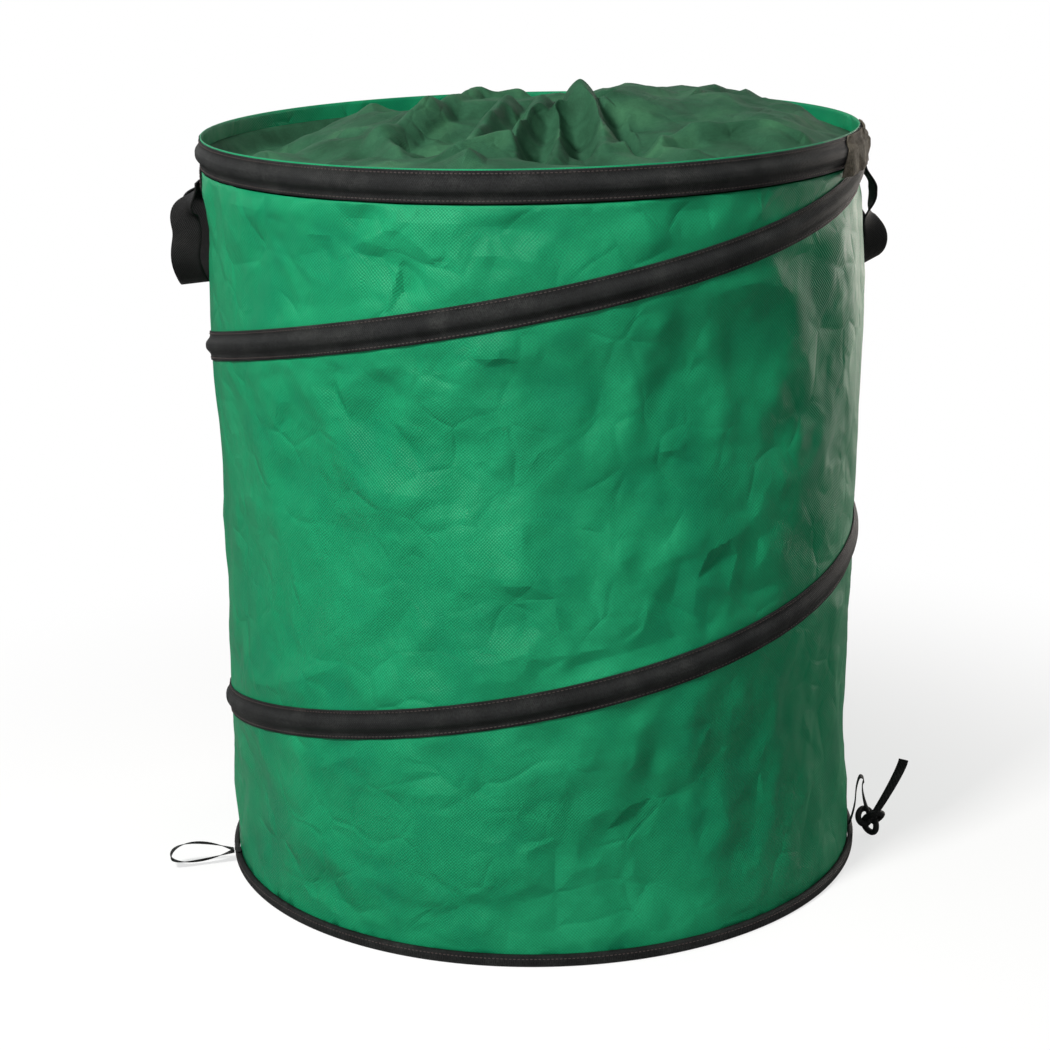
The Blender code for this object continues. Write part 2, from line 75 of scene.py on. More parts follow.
# The bag's own sizes, as the frame has them
RADIUS = 280 * MM
HEIGHT = 650 * MM
FABRIC = 0.8 * MM
TAPE_WIDTH = 25 * MM
TAPE = 0.8 * MM
GAP = 0.3 * MM
WIRE_RADIUS = 1.5 * MM
WIRE_OUT = 2.1 * MM
BULGE = 5 * MM
BINDING_HEIGHT = 10 * MM
RIM_WIRE_Z = 636.5 * MM
RIM_TAPE_LOW = 624 * MM
FLOOR_WIRE_Z = 5 * MM
PITCH = 320 * MM
SPIRAL_TOP = radians(13)
SPIRAL_LOW = 10.3 * MM
SPIRAL_HIGH = 623.7 * MM
WALL_LOW = 1.5 * MM
WALL_HEIGHT = RIM_TAPE_LOW - GAP - WALL_LOW

# How far from a wire the wall is sewn down, and the bend in degrees that shows as a sharp crease
SEWN_REACH = 13 * MM
CREASE_ANGLE = 10


# Camera, light and floor


def make_camera():
    """The photograph's own view: low over the rim, a little above the middle of the wall."""
    eye = Vector((0, -2.0544, 0.8854))
    yaw, pitch, roll = -0.0054, 0.2802, -0.0211
    forward = Vector((sin(yaw) * cos(pitch), cos(yaw) * cos(pitch), -sin(pitch)))
    level = Vector((cos(yaw), -sin(yaw), 0))
    upright = level.cross(forward)
    right = level * cos(roll) + upright * sin(roll)
    above = upright * cos(roll) - level * sin(roll)
    lens = bpy.data.cameras.new("camera")
    lens.lens = 81.76
    lens.sensor_width = 36
    camera = bpy.data.objects.new("camera", lens)
    turned = Matrix((right, above, -forward)).transposed().to_4x4()
    camera.matrix_world = Matrix.Translation(eye) @ turned
    bpy.context.collection.objects.link(camera)
    bpy.context.scene.camera = camera


def make_lamp(name, azimuth, elevation, distance, size, watts, colour):
    """A soft square lamp that looks at the middle of the bag."""
    lamp = bpy.data.lights.new(name, "AREA")
    lamp.size = size
    lamp.energy = watts
    lamp.color = colour
    made = bpy.data.objects.new(name, lamp)
    aim = Vector((cos(azimuth) * cos(elevation), sin(azimuth) * cos(elevation), sin(elevation)))
    made.location = aim * distance + Vector((0, 0, HEIGHT / 2))
    made.rotation_euler = aim.to_track_quat("Z", "Y").to_euler()
    bpy.context.collection.objects.link(made)


def linear(text):
    """A colour written as sRGB hex, as the linear values a shader takes."""
    parts = [int(text[start:start + 2], 16) / 255 for start in (0, 2, 4)]
    return [part / 12.92 if part <= 0.04045 else ((part + 0.055) / 1.055) ** 2.4 for part in parts]


def add(tree, kind, settings=None, **links):
    """Add a node; settings are its properties or socket values, links the sockets to join in."""
    node = tree.nodes.new("ShaderNode" + kind)
    for key, value in (settings or {}).items():
        if isinstance(key, int) or key in node.inputs:
            node.inputs[key].default_value = value
        else:
            setattr(node, key, value)
    for key, source in links.items():
        name = int(key[1:]) if key[1:].isdigit() else key.replace("_", " ")
        tree.links.new(node.inputs[name], source)
    return node


def make_world():
    """A plain studio: soft light all round, white wherever the camera sees past the bag."""
    world = bpy.data.worlds.new("studio")
    bpy.context.scene.world = world
    world.use_nodes = True
    tree = world.node_tree
    tree.nodes.clear()
    path = add(tree, "LightPath")
    seen = add(tree, "Math", {"operation": "MAXIMUM"},
               i0=path.outputs["Is Camera Ray"], i1=path.outputs["Is Glossy Ray"])
    seen = add(tree, "Math", {"operation": "MAXIMUM"},
               i0=seen.outputs[0], i1=path.outputs["Is Transmission Ray"])
    level = add(tree, "MapRange", {"To Min": 0.13, "To Max": 1.0}, Value=seen.outputs[0])
    back = add(tree, "Background", {"Color": (1, 1, 1, 1)}, Strength=level.outputs[0])
    add(tree, "OutputWorld", Surface=back.outputs[0])


def make_floor():
    """A plain pale floor that fades into the white behind it and keeps the bag's soft shadow."""
    bm = bmesh.new()
    bmesh.ops.create_grid(bm, x_segments=8, y_segments=8, size=9)
    mesh = bpy.data.meshes.new("floor")
    bm.to_mesh(mesh)
    bm.free()
    floor = bpy.data.objects.new("floor", mesh)
    bpy.context.collection.objects.link(floor)
    look = bpy.data.materials.new("floor_white_paper")
    look.use_nodes = True
    tree = look.node_tree
    shader = tree.nodes["Principled BSDF"]
    shader.inputs["Roughness"].default_value = 0.9
    shader.inputs["Specular IOR Level"].default_value = 0.1
    seen = add(tree, "LightPath").outputs["Is Camera Ray"]
    tone = add(tree, "Mix", {"data_type": "RGBA", 6: (*linear("a8a8a8"), 1),
               7: (*linear("f4f4f4"), 1)}, Factor=seen)
    tree.links.new(shader.inputs["Base Color"], tone.outputs[2])
    place = add(tree, "TexCoord")
    far = add(tree, "VectorMath", {"operation": "LENGTH"}, i0=place.outputs["Object"])
    fade = add(tree, "MapRange", {"From Min": 0.3, "From Max": 0.95, "To Min": 0.7,
               "To Max": 1.0, "interpolation_type": "SMOOTHSTEP"}, Value=far.outputs["Value"])
    share = add(tree, "Math", {"operation": "MULTIPLY"}, i0=fade.outputs[0], i1=seen)
    glow = add(tree, "Emission", {"Color": (1, 1, 1, 1), "Strength": 1.0})
    both = add(tree, "MixShader", Fac=share.outputs[0], i1=shader.outputs[0], i2=glow.outputs[0])
    tree.links.new(tree.nodes["Material Output"].inputs["Surface"], both.outputs[0])
    mesh.materials.append(look)


bpy.context.scene.view_settings.view_transform = "Standard"
make_camera()
make_world()
make_floor()
make_lamp("window_left", radians(-124), radians(42), distance=2.5, size=0.45, watts=86,
          colour=(1, 0.99, 0.97))
make_lamp("fill_front", radians(-88), radians(12), distance=3.0, size=1.0, watts=13,
          colour=(1, 1, 1))
make_lamp("lamp_right", radians(46), radians(3), distance=2.4, size=1.3, watts=34,
          colour=(1, 0.92, 0.84))


# Finishes


def new_finish(name):
    """An empty material with a Principled shader, and its tree."""
    look = bpy.data.materials.new(name)
    look.use_nodes = True
    return look, look.node_tree, look.node_tree.nodes["Principled BSDF"]


def weave(tree, across_mm, along_mm):
    """Plain weave on the piece's own flat map, in metres: threads over and under by turns."""
    flat = add(tree, "UVMap", {"uv_map": "flat"})
    parts = add(tree, "SeparateXYZ", i0=flat.outputs[0])
    waves = []
    for output, pitch in ((0, across_mm), (1, along_mm)):
        phase = add(tree, "Math", {"operation": "MULTIPLY", 1: tau / (pitch * MM)},
                    i0=parts.outputs[output])
        waves.append(add(tree, "Math", {"operation": "SINE"}, i0=phase.outputs[0]))
    return add(tree, "Math", {"operation": "MULTIPLY"},
               i0=waves[0].outputs[0], i1=waves[1].outputs[0]).outputs[0]


def sharp_creases(tree, place, spacing_mm, depth_mm):
    """The normal of cloth with small flat faces and sharp creases between them, in patches."""
    spacing = spacing_mm * MM
    bend = add(tree, "TexNoise", {"Scale": 0.6 / spacing, "Detail": 1}, Vector=place)
    bent = add(tree, "VectorMath", {"operation": "MULTIPLY_ADD", 1: [0.9 * spacing] * 3},
               i0=bend.outputs["Color"], i2=place)
    cells = add(tree, "TexVoronoi", {"feature": "DISTANCE_TO_EDGE", "Scale": 1 / spacing},
                Vector=bent.outputs[0])
    face = add(tree, "MapRange", {"From Max": 0.4}, Value=cells.outputs["Distance"])
    edge = add(tree, "MapRange", {"From Max": 0.1, "To Max": 0.22,
               "interpolation_type": "SMOOTHSTEP"}, Value=cells.outputs["Distance"])
    fold = add(tree, "Math", {"operation": "ADD"}, i0=face.outputs[0], i1=edge.outputs[0])
    worn = add(tree, "TexNoise", {"Scale": 1 / spacing, "Detail": 2}, Vector=place)
    patch = add(tree, "MapRange", {"From Min": 0.42, "From Max": 0.62}, Value=worn.outputs["Fac"])
    height = add(tree, "Math", {"operation": "MULTIPLY"}, i0=fold.outputs[0], i1=patch.outputs[0])
    return add(tree, "Bump", {"Distance": depth_mm * MM}, Height=height.outputs[0]).outputs[0]


def cloth_finish(name, tones, roughness, gloss, threads, bump, cloud_mm, fleck, creases=None):
    """Woven cloth: a plain weave in bump and tone, over slow clouds of faded and darker dye.

    tones are its dark, middle and pale colours, threads the weave's two spacings in millimetres,
    fleck how unevenly they are dyed, and creases the spacing and depth of its small creases.
    """
    look, tree, shader = new_finish(name)
    place = add(tree, "TexCoord").outputs["Object"]
    cloud = add(tree, "TexNoise", {"Scale": 1 / (cloud_mm * MM), "Detail": 5, "Roughness": 0.6},
                Vector=place)
    tone = add(tree, "ValToRGB", Fac=cloud.outputs["Fac"])
    ramp = tone.color_ramp
    ramp.elements[0].position = 0.32
    ramp.elements[1].position = 0.70
    ramp.elements.new(0.5)
    for stop, colour in zip(ramp.elements, tones):
        stop.color = (*linear(colour), 1)
    thread = weave(tree, *threads)
    lit = add(tree, "MapRange", {"From Min": -1, "From Max": 1, "To Min": 0.8, "To Max": 1.18},
              Value=thread)
    grain = add(tree, "TexNoise", {"Scale": 1 / (1.5 * MM), "Detail": 2}, Vector=place)
    flecks = add(tree, "MapRange", {"From Min": 0.3, "From Max": 0.7,
                 "To Min": 1 - fleck, "To Max": 1 + fleck}, Value=grain.outputs["Fac"])
    level = add(tree, "Math", {"operation": "MULTIPLY"}, i0=lit.outputs[0], i1=flecks.outputs[0])
    shade = add(tree, "VectorMath", {"operation": "SCALE"},
                i0=tone.outputs["Color"], Scale=level.outputs[0])
    tree.links.new(shader.inputs["Base Color"], shade.outputs[0])
    raised = add(tree, "Bump", {"Strength": bump, "Distance": 0.3 * MM}, Height=thread)
    if creases:
        tree.links.new(raised.inputs["Normal"], sharp_creases(tree, place, *creases))
    tree.links.new(shader.inputs["Normal"], raised.outputs[0])
    shader.inputs["Roughness"].default_value = roughness
    shader.inputs["Specular IOR Level"].default_value = gloss
    return look


# Coated oxford polyester, the tub: even green, faintly shiny on its worn folds, with small faces
# from packing. Its threads are 0.9 mm apart, drawn three times as coarse so that the weave shows
GREEN = cloth_finish("oxford_polyester_green", ("0c704c", "127a51", "188459"),
                     roughness=0.45, gloss=0.1, threads=(2.7, 2.7), bump=0.6,
                     cloud_mm=90, fleck=0.08, creases=(46, 1.6))
# Thin uncoated nylon lining, the collar: dull dark green, thin enough to take small sharp folds.
# Its 0.4 mm threads are drawn coarser as well
LINING = cloth_finish("nylon_lining_dark_green", ("1e3f2c", "29503a", "376346"),
                      roughness=0.65, gloss=0.05, threads=(1.8, 1.8), bump=0.3,
                      cloud_mm=60, fleck=0.1, creases=(34, 1.4))
# Grosgrain binding tape: near black, ribs across it, greyed where it is handled. Its ribs are
# about 1 mm apart, drawn coarser too
BINDING = cloth_finish("grosgrain_tape_black", ("121313", "1a1b1b", "272827"),
                       roughness=0.6, gloss=0.1, threads=(1.8, 3.0), bump=0.9,
                       cloud_mm=30, fleck=0.5)
# Woven polypropylene webbing: heavier ribs of about their real spacing, a slight shine
WEBBING_LOOK = cloth_finish("woven_webbing_black", ("0b0b0b", "111111", "1b1a1a"),
                            roughness=0.6, gloss=0.12, threads=(2.4, 1.8), bump=1.0,
                            cloud_mm=25, fleck=0.2)
# The binding's tape turned over where it is folded on itself; its grey is painted sheen, the light
# that the folded end catches painted into its colour
PATCH_SHEEN_LOOK = cloth_finish("grosgrain_tape_painted_sheen_grey", ("4d483f", "625c51", "7b7466"),
                          roughness=0.8, gloss=0.1, threads=(1.8, 3.0), bump=0.8,
                          cloud_mm=12, fleck=0.25)


def spring_steel():
    """Drawn spring steel wire: grey, smooth along its length, fine lines from the die."""
    look, tree, shader = new_finish("drawn_spring_steel")
    place = add(tree, "TexCoord")
    lines = add(tree, "TexNoise", {"Scale": 1 / (4 * MM), "Detail": 3},
                Vector=place.outputs["Object"])
    level = add(tree, "MapRange", {"To Min": 0.28, "To Max": 0.5}, Value=lines.outputs["Fac"])
    tree.links.new(shader.inputs["Roughness"], level.outputs[0])
    shader.inputs["Base Color"].default_value = (*linear("b4b2ad"), 1)
    shader.inputs["Metallic"].default_value = 1
    return look


STEEL = spring_steel()


def thread_finish():
    """Twisted polyester sewing thread: black with a brown cast, slightly shiny."""
    look, tree, shader = new_finish("sewing_thread_black")
    place = add(tree, "TexCoord")
    twist = add(tree, "TexNoise", {"Scale": 1 / (1.2 * MM), "Detail": 2},
                Vector=place.outputs["Object"])
    tone = add(tree, "ValToRGB", Fac=twist.outputs["Fac"])
    for stop, colour in zip(tone.color_ramp.elements, ("1f1615", "41302d")):
        stop.color = (*linear(colour), 1)
    tree.links.new(shader.inputs["Base Color"], tone.outputs["Color"])
    shader.inputs["Roughness"].default_value = 0.5
    return look


THREAD = thread_finish()


# Making pieces


def sheet_of(name, cells, size, place, look, thickness=None, joined=False, sewn=None):
    """A sheet of cells (across, up) of a flat size in metres, each corner put where place says."""
    bm = bmesh.new()
    bmesh.ops.create_grid(bm, x_segments=cells[0], y_segments=cells[1], size=0.5)
    mesh = bpy.data.meshes.new(name)
    bm.to_mesh(mesh)
    bm.free()
    spots = np.empty(len(mesh.vertices) * 3)
    mesh.vertices.foreach_get("co", spots)
    spots = spots.reshape(-1, 3)[:, :2] + 0.5
    corners = np.empty(len(mesh.loops), int)
    mesh.loops.foreach_get("vertex_index", corners)
    mesh.uv_layers.new(name="flat")
    mesh.uv_layers["flat"].data.foreach_set("uv", (spots[corners] * np.array(size)).ravel())
    mesh.vertices.foreach_set("co", place(spots[:, 0], spots[:, 1]).ravel())
    if sewn:
        fixed = mesh.attributes.new("sewn", "FLOAT", "POINT")
        fixed.data.foreach_set("value", sewn(spots[:, 0], spots[:, 1]).astype(float))
    bm = bmesh.new()
    bm.from_mesh(mesh)
    bpy.data.meshes.remove(mesh)
    if joined:
        bmesh.ops.remove_doubles(bm, verts=bm.verts, dist=0.002 * MM)
    made = finish_piece(name, bm, look)
    if thickness:
        thicken(made, thickness)
    return made


def apply_modifiers(made):
    """Give a piece the mesh that its modifiers make, and take them off."""
    graph = bpy.context.evaluated_depsgraph_get()
    result = bpy.data.meshes.new_from_object(made.evaluated_get(graph), depsgraph=graph)
    result.name = made.name
    made.modifiers.clear()
    made.data = result


def buckle(made, growth, frames):
    """Let a sheet buckle as real cloth does: it grows a little between its sewn lines."""
    fixed = np.empty(len(made.data.vertices))
    made.data.attributes["sewn"].data.foreach_get("value", fixed)
    group = made.vertex_groups.new(name="sewn_down")
    group.add([int(index) for index in np.flatnonzero(fixed > 0.5)], 1, "REPLACE")
    cloth = made.modifiers.new("cloth", "CLOTH")
    settings = cloth.settings
    settings.quality = 5
    settings.mass = 0.2
    settings.air_damping = 2
    settings.tension_stiffness = settings.compression_stiffness = 60
    settings.shear_stiffness = 30
    settings.bending_stiffness = 0.5
    settings.bending_damping = 1
    settings.effector_weights.gravity = 0
    settings.shrink_min = -growth
    settings.vertex_group_mass = group.name
    cloth.point_cache.frame_start = 1
    cloth.point_cache.frame_end = frames
    for frame in range(1, frames + 1):
        bpy.context.scene.frame_set(frame)
    apply_modifiers(made)
    bpy.context.scene.frame_set(1)


def press_creases(made, move, kept, soften=0):
    """Move a sheet's points on a finer mesh, then keep a share of its faces and its sharp edges.

    move takes the points' places, a row each, and gives the new ones.
    """
    softer = made.modifiers.new("softer", "SMOOTH")
    softer.iterations = soften
    finer = made.modifiers.new("finer", "SUBSURF")
    finer.levels = finer.render_levels = 1
    apply_modifiers(made)
    spots = np.empty(len(made.data.vertices) * 3)
    made.data.vertices.foreach_get("co", spots)
    made.data.vertices.foreach_set("co", move(spots.reshape(-1, 3)).ravel())
    made.data.update()
    fewer = made.modifiers.new("fewer_faces", "DECIMATE")
    fewer.ratio = kept
    apply_modifiers(made)
    made.data.set_sharp_from_angle(angle=radians(CREASE_ANGLE))


def thicken(made, thickness, offset=-1):
    """Make a sheet a closed piece of cloth of a thickness, inward from its face or both ways."""
    solid = made.modifiers.new("thickness", "SOLIDIFY")
    solid.thickness = thickness
    solid.offset = offset
    solid.use_quality_normals = True


def finish_piece(name, bm, look, smooth=True):
    """Turn a bmesh into a piece at the origin."""
    mesh = bpy.data.meshes.new(name)
    bm.to_mesh(mesh)
    bm.free()
    if smooth:
        mesh.shade_smooth()
    mesh.materials.append(look)
    made = bpy.data.objects.new(name, mesh)
    bpy.context.collection.objects.link(made)
    return made


def round_at(radius, azimuth, height):
    """Points at radii, azimuths and heights about the bag's axis, one row each."""
    radius, azimuth, height = np.broadcast_arrays(radius, azimuth, height)
    return np.stack([radius * np.cos(azimuth), radius * np.sin(azimuth), height], axis=1)


def eased(share):
    """A share that starts and ends gently."""
    share = np.clip(share, 0, 1)
    return share * share * (3 - 2 * share)


def smooth_run(start, start_run, end, end_run, share):
    """Where a smooth curve is at a share of its length; the runs are its way at both ends."""
    stay = 1 - share * share * (3 - 2 * share)
    return (start * stay + start_run * (share ** 3 - 2 * share ** 2 + share)
            + end * (1 - stay) + end_run * (share ** 3 - share ** 2))


def hangs_on(made, body, slot, *nodes):
    """The body a piece rides on and the frame nodes that it stands for, which are hidden; slot is
    not used.
    """
    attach(made, body)
    if nodes:
        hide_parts(*nodes)


def presses_flat(made):
    """Cloth and wire between the two hoops, which lie down on the floor hoop as the rim comes down:
    the piece gets its own copy of its mesh.
    """
    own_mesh(made)


# The wall


def spiral_z(azimuth):
    """Height of the spiral wire where it has turned to this azimuth."""
    return RIM_WIRE_Z - PITCH * (SPIRAL_TOP - azimuth) / tau


def spiral_azimuth(height):
    """How far the spiral wire has turned at this height."""
    return SPIRAL_TOP - (RIM_WIRE_Z - height) / PITCH * tau


def span_at(azimuth, height):
    """Where a point lies between the wires below and above it: the share, and the span."""
    low = np.full_like(height, FLOOR_WIRE_Z)
    high = np.full_like(height, RIM_WIRE_Z)
    for turn in range(-3, 2):
        wire = spiral_z(azimuth + tau * turn)
        wire = np.where((wire > FLOOR_WIRE_Z) & (wire < RIM_WIRE_Z), wire, np.nan)
        low = np.where(wire <= height, np.fmax(low, wire), low)
        high = np.where(wire > height, np.fmin(high, wire), high)
    span = np.maximum(high - low, 1 * MM)
    return np.clip((height - low) / span, 0, 1), span


# How much of a crease's depth stays in the cloth
CREASE_KEPT = 0.65
# Creases seen on the front: azimuth and height of both ends, depth (a ridge is +, a valley -),
# width, and how much it bows; degrees and millimetres
SEEN_CREASES = (
    (-139, 598, -131, 560, -4.0, 10, 3),
    (-135, 612, -111, 559, -5.0, 14, 8),
    (-112, 612, -97, 557, 4.5, 14, 6),
    (-102, 606, -86, 598, -4.5, 10, 3),
    (-104, 586, -84, 573, 4.5, 11, 4),
    (-73, 614, -72, 566, 4.5, 14, 6),
    (-70, 612, -56, 606, -3.5, 9, 3),
    (-123, 498, -105, 441, 2.6, 10, -14),
    (-125, 441, -114, 390, -2.4, 9, -6),
    (-118, 462, -100, 346, -3.4, 14, 12),
    (-105, 393, -94, 352, -2.2, 7, 3),
    (-132, 385, -108, 330, 1.8, 8, 5),
    (-54, 474, -33, 406, 2.8, 8, 2),
    (-50, 373, -32, 300, -2.4, 9, 3),
    (-61, 420, -47, 415, -1.8, 6, 3),
    (-120, 123, -87, 30, 2.6, 13, -5),
    (-138, 90, -103, 29, 2.2, 12, 4),
    (-69, 83, -79, 18, -2.8, 9, 4),
    (-75, 225, -70, 84, -2.4, 12, 5),
    (-45, 196, -24, 100, 2.4, 8, 3),
    (-30, 536, -20, 377, 3.4, 16, 6),
)


def random_creases(count, seed):
    """Small creases all round from packing and unpacking, mostly slanting down to the right."""
    draw = random.Random(seed)
    radius_mm = 280
    creases = []
    for _ in range(count):
        turn = draw.uniform(-180, 180)
        height = draw.uniform(30, 620)
        length = draw.uniform(20, 95)
        slant = radians(draw.gauss(-40, 40))
        depth = draw.choice((-1, 1)) * draw.uniform(0.6, 2.0)
        far_turn = turn + degrees(length * cos(slant) / radius_mm)
        far_height = height + length * sin(slant)
        creases.append((turn, height, far_turn, far_height, depth,
                        draw.uniform(3, 8), draw.uniform(-7, 7)))
    return tuple(creases)


def crease_depth(azimuth, height, creases):
    """How far all the creases push the cloth out or in, in metres."""
    total = np.zeros_like(height)
    for start, low, end, high, depth, width, bow in creases:
        middle = radians((start + end) / 2)
        reach = radians(end - start) * RADIUS, (high - low) * MM
        length = sqrt(reach[0] ** 2 + reach[1] ** 2) / 2
        way = reach[0] / length / 2, reach[1] / length / 2
        across = ((azimuth - middle + pi) % tau - pi) * RADIUS
        up = height - (low + high) / 2 * MM
        close = np.flatnonzero((np.abs(across) < length * 1.3) & (np.abs(up) < length * 1.3))
        across, up = across[close], up[close]
        share = (across * way[0] + up * way[1]) / length
        aside = up * way[0] - across * way[1] - bow * MM * (1 - share ** 2)
        fade = np.clip(1 - share ** 2, 0, 1) ** 1.3
        fall = np.sqrt(aside ** 2 + (1.5 * MM) ** 2) - 1.5 * MM
        total[close] += CREASE_KEPT * depth * MM * fade * np.exp(-fall / (width * MM))
    return total


def drift(azimuth, height, waves, seed):
    """Slow even noise round the wall, from -1 to 1, that closes on itself; waves is how fine."""
    draw = random.Random(seed)
    total = np.zeros_like(height)
    for _ in range(6):
        turns = draw.randint(-waves, waves)
        rise = draw.uniform(-1, 1) * waves / RADIUS
        total += np.sin(turns * azimuth + rise * height + draw.uniform(0, tau))
    return total / 3.2


# Families of folds that the cloth keeps from packing: how many pass round the tub, how many up a
# metre of it (less than none where they slant down to the left), depth in mm, and their patchiness
WALL_FOLDS = (
    (12, 5.0, 3.0, 3, 11),
    (17, 8.0, 2.6, 4, 23),
    (10, -9.0, 2.2, 4, 31),
    (26, 12.0, 1.6, 6, 47),
)
COLLAR_FOLDS = (
    (18, 4.0, 6.0, 5, 3),
    (6, 14.0, 5.0, 5, 5),
)


def fold_depth(azimuth, height, families):
    """Sharp wandering folds with flat faces between them, in patches."""
    total = np.zeros_like(height)
    for around, along, depth, patch, seed in families:
        wander = drift(azimuth, height, patch, seed) * 0.9
        turn = around * azimuth / tau + along * height + wander
        ridge = np.abs(turn % 1 - 0.5) * 2 - 0.5
        here = np.clip(drift(azimuth, height, patch, seed + 1) * 1.6 + 0.35, 0, 1)
        total += depth * MM * ridge * here * here * (3 - 2 * here)
    return total


SMALL_CREASES = random_creases(260, 7)


def facets(across, up, spacing, depth, seed):
    """Crumpled cloth: flat faces between uneven points that stand in or out, at flat places.

    The net closes on itself after one turn of the wall. A few points stand far out, most hardly.
    """
    draw = np.random.default_rng(seed)
    around, low = tau * RADIUS, up.min() - spacing
    columns, rows = round(around / spacing), int((up.max() - low) / spacing) + 2
    cells = np.stack(np.divmod(np.arange(columns * rows), rows), axis=1)
    points = cells + draw.random((columns * rows, 2)) * 0.85
    points = points * (around / columns, spacing) + (0, low)
    heights = draw.normal(0, depth, len(points)) * draw.random(len(points)) * 1.7
    points = np.concatenate([points - (around, 0), points, points + (around, 0)])
    net = delaunay_2d_cdt([Vector(point) for point in points], [], [], 0, 0.01 * MM)
    corners = [(*corner, heights[came[0] % len(heights)]) for corner, came in zip(net[0], net[3])]
    sheet = BVHTree.FromPolygons(corners, net[2])
    hits = (sheet.ray_cast((x, y, 1), -UP)[0] for x, y in zip(across % around, up))
    return np.array([hit.z if hit else 0 for hit in hits])


def reach_at(azimuth, height):
    """How far a point of the wall is from the nearest wire."""
    share, span = span_at(azimuth, height)
    return np.minimum(share, 1 - share) * span


def drawn_in(azimuth, height):
    """The wall's outer face without its creases: on the wires, and drawn in between them.

    It is drawn in less at the sides, and stands out a little high on the right.
    """
    share, span = span_at(azimuth, height)
    wave = np.sin(pi * share)
    fold = (1 + np.sin(7 * azimuth + 2.5 * tau * height / HEIGHT)) / 2
    loose = np.minimum(1, span / PITCH) ** 2 * wave ** 2 * (1 - 0.55 * np.cos(azimuth) ** 2)
    right = np.clip(np.cos(azimuth), 0, 1) ** 6 * eased((height - 250 * MM) / (150 * MM))
    room = np.clip((np.minimum(share, 1 - share) * span - SEWN_REACH) / (20 * MM), 0, 1)
    return RADIUS - (8 + 3 * fold) * MM * loose + 9 * MM * right * wave ** 0.7 * room


def wall_place(u, v):
    """Where the corners of the wall lie before it buckles."""
    azimuth = u * tau
    height = WALL_LOW + WALL_HEIGHT * v
    room = np.clip((reach_at(azimuth, height) - SEWN_REACH) / (24 * MM), 0, 1) ** 0.8
    loose = fold_depth(azimuth, height, WALL_FOLDS) + drift(azimuth, height, 40, 5) * 0.5 * MM
    return round_at(drawn_in(azimuth, height) + loose * room, azimuth, height)


def wall_sewn(u, v):
    """Where the wall is held by a tape: under the bindings and along the spiral."""
    height = WALL_LOW + WALL_HEIGHT * v
    return (reach_at(u * tau, height) < SEWN_REACH) | (v < 0.02) | (v > 0.998)


def crease_wall(spots):
    """Calm the buckled wall, most at its sides, press its sharp creases in, and keep it behind the
    tapes.
    """
    azimuth = np.arctan2(spots[:, 1], spots[:, 0])
    height = spots[:, 2]
    radius = np.hypot(spots[:, 0], spots[:, 1])
    side = np.abs(np.cos(azimuth)) ** 4
    radius += (drawn_in(azimuth, height) - radius) * (0.35 + 0.55 * side)
    pressed = crease_depth(azimuth, height, SEEN_CREASES + SMALL_CREASES)
    pressed += facets(azimuth * RADIUS, height, 46 * MM, 3.0 * MM, 4)
    patches = np.clip(0.6 + drift(azimuth, height, 9, 8), 0.1, 1.3)
    pressed += facets(azimuth * RADIUS, height, 21 * MM, 1.2 * MM, 6) * patches
    room = np.clip((reach_at(azimuth, height) - SEWN_REACH) / (14 * MM), 0, 1)
    most = np.maximum(RADIUS, drawn_in(azimuth, height)) + 3 * MM * room
    radius = np.minimum(radius + pressed * room * (1 - 0.55 * side), most)
    return round_at(radius, azimuth, height)


def make_wall():
    """The tub's cloth in two bands: the wall, and its rim, which goes down with the hoop."""
    around = tau * RADIUS
    flat = around, RIM_TAPE_LOW - WALL_LOW
    wall = sheet_of("wall_cloth", (368, 130), flat, wall_place, GREEN, joined=True, sewn=wall_sewn)
    buckle(wall, growth=0.018, frames=16)
    press_creases(wall, crease_wall, kept=0.245, soften=3)
    thicken(wall, FABRIC)
    depth = HEIGHT - RIM_TAPE_LOW
    rim = sheet_of("rim_cloth", (360, 8), (around, depth),
                   lambda u, v: round_at(RADIUS, u * tau, RIM_TAPE_LOW + depth * v),
                   GREEN, FABRIC, joined=True)
    hangs_on(wall, "base", "green_oxford", "wall_fabric")
    hangs_on(rim, "rim", "green_oxford")
    presses_flat(wall)


make_wall()


def make_base():
    """The round cloth floor of the tub, lying flat."""
    bm = bmesh.new()
    bmesh.ops.create_circle(bm, cap_ends=True, cap_tris=False, segments=96, radius=RADIUS)
    bmesh.ops.translate(bm, verts=bm.verts, vec=UP * 1.2 * MM)
    flat = bm.loops.layers.uv.new("flat")
    for face in bm.faces:
        for loop in face.loops:
            loop[flat].uv = loop.vert.co.xy
    made = finish_piece("base_cloth", bm, GREEN, smooth=False)
    thicken(made, 1.2 * MM)
    hangs_on(made, "base", "green_oxford", "base_panel")


make_base()


# Tapes


def tape_bulge(across):
    """How far a tape stands off the wall: a rounded channel over the wire, flat edges sewn down."""
    far = np.abs(across)
    over = np.clip((8.5 * MM - far) / (7 * MM), 0, 1)
    return GAP + (BULGE - TAPE - GAP) * over * over * (3 - 2 * over)


def tape_place(turns, height_at, edges=None):
    """Where a tape's corners lie: u runs along it and v across it, from its low edge up."""
    start, end = turns

    def place(u, v):
        azimuth = start + (end - start) * u
        middle = height_at(azimuth)
        low, high = middle - TAPE_WIDTH / 2, middle + TAPE_WIDTH / 2
        if edges:
            low, high = np.maximum(low, edges[0]), np.minimum(high, edges[1])
        height = low + (high - low) * v
        across = height - middle
        wave = 0.25 * MM * np.sin(azimuth * 61) * np.abs(across) / TAPE_WIDTH
        return round_at(RADIUS + tape_bulge(across) + TAPE + wave, azimuth, height)
    return place


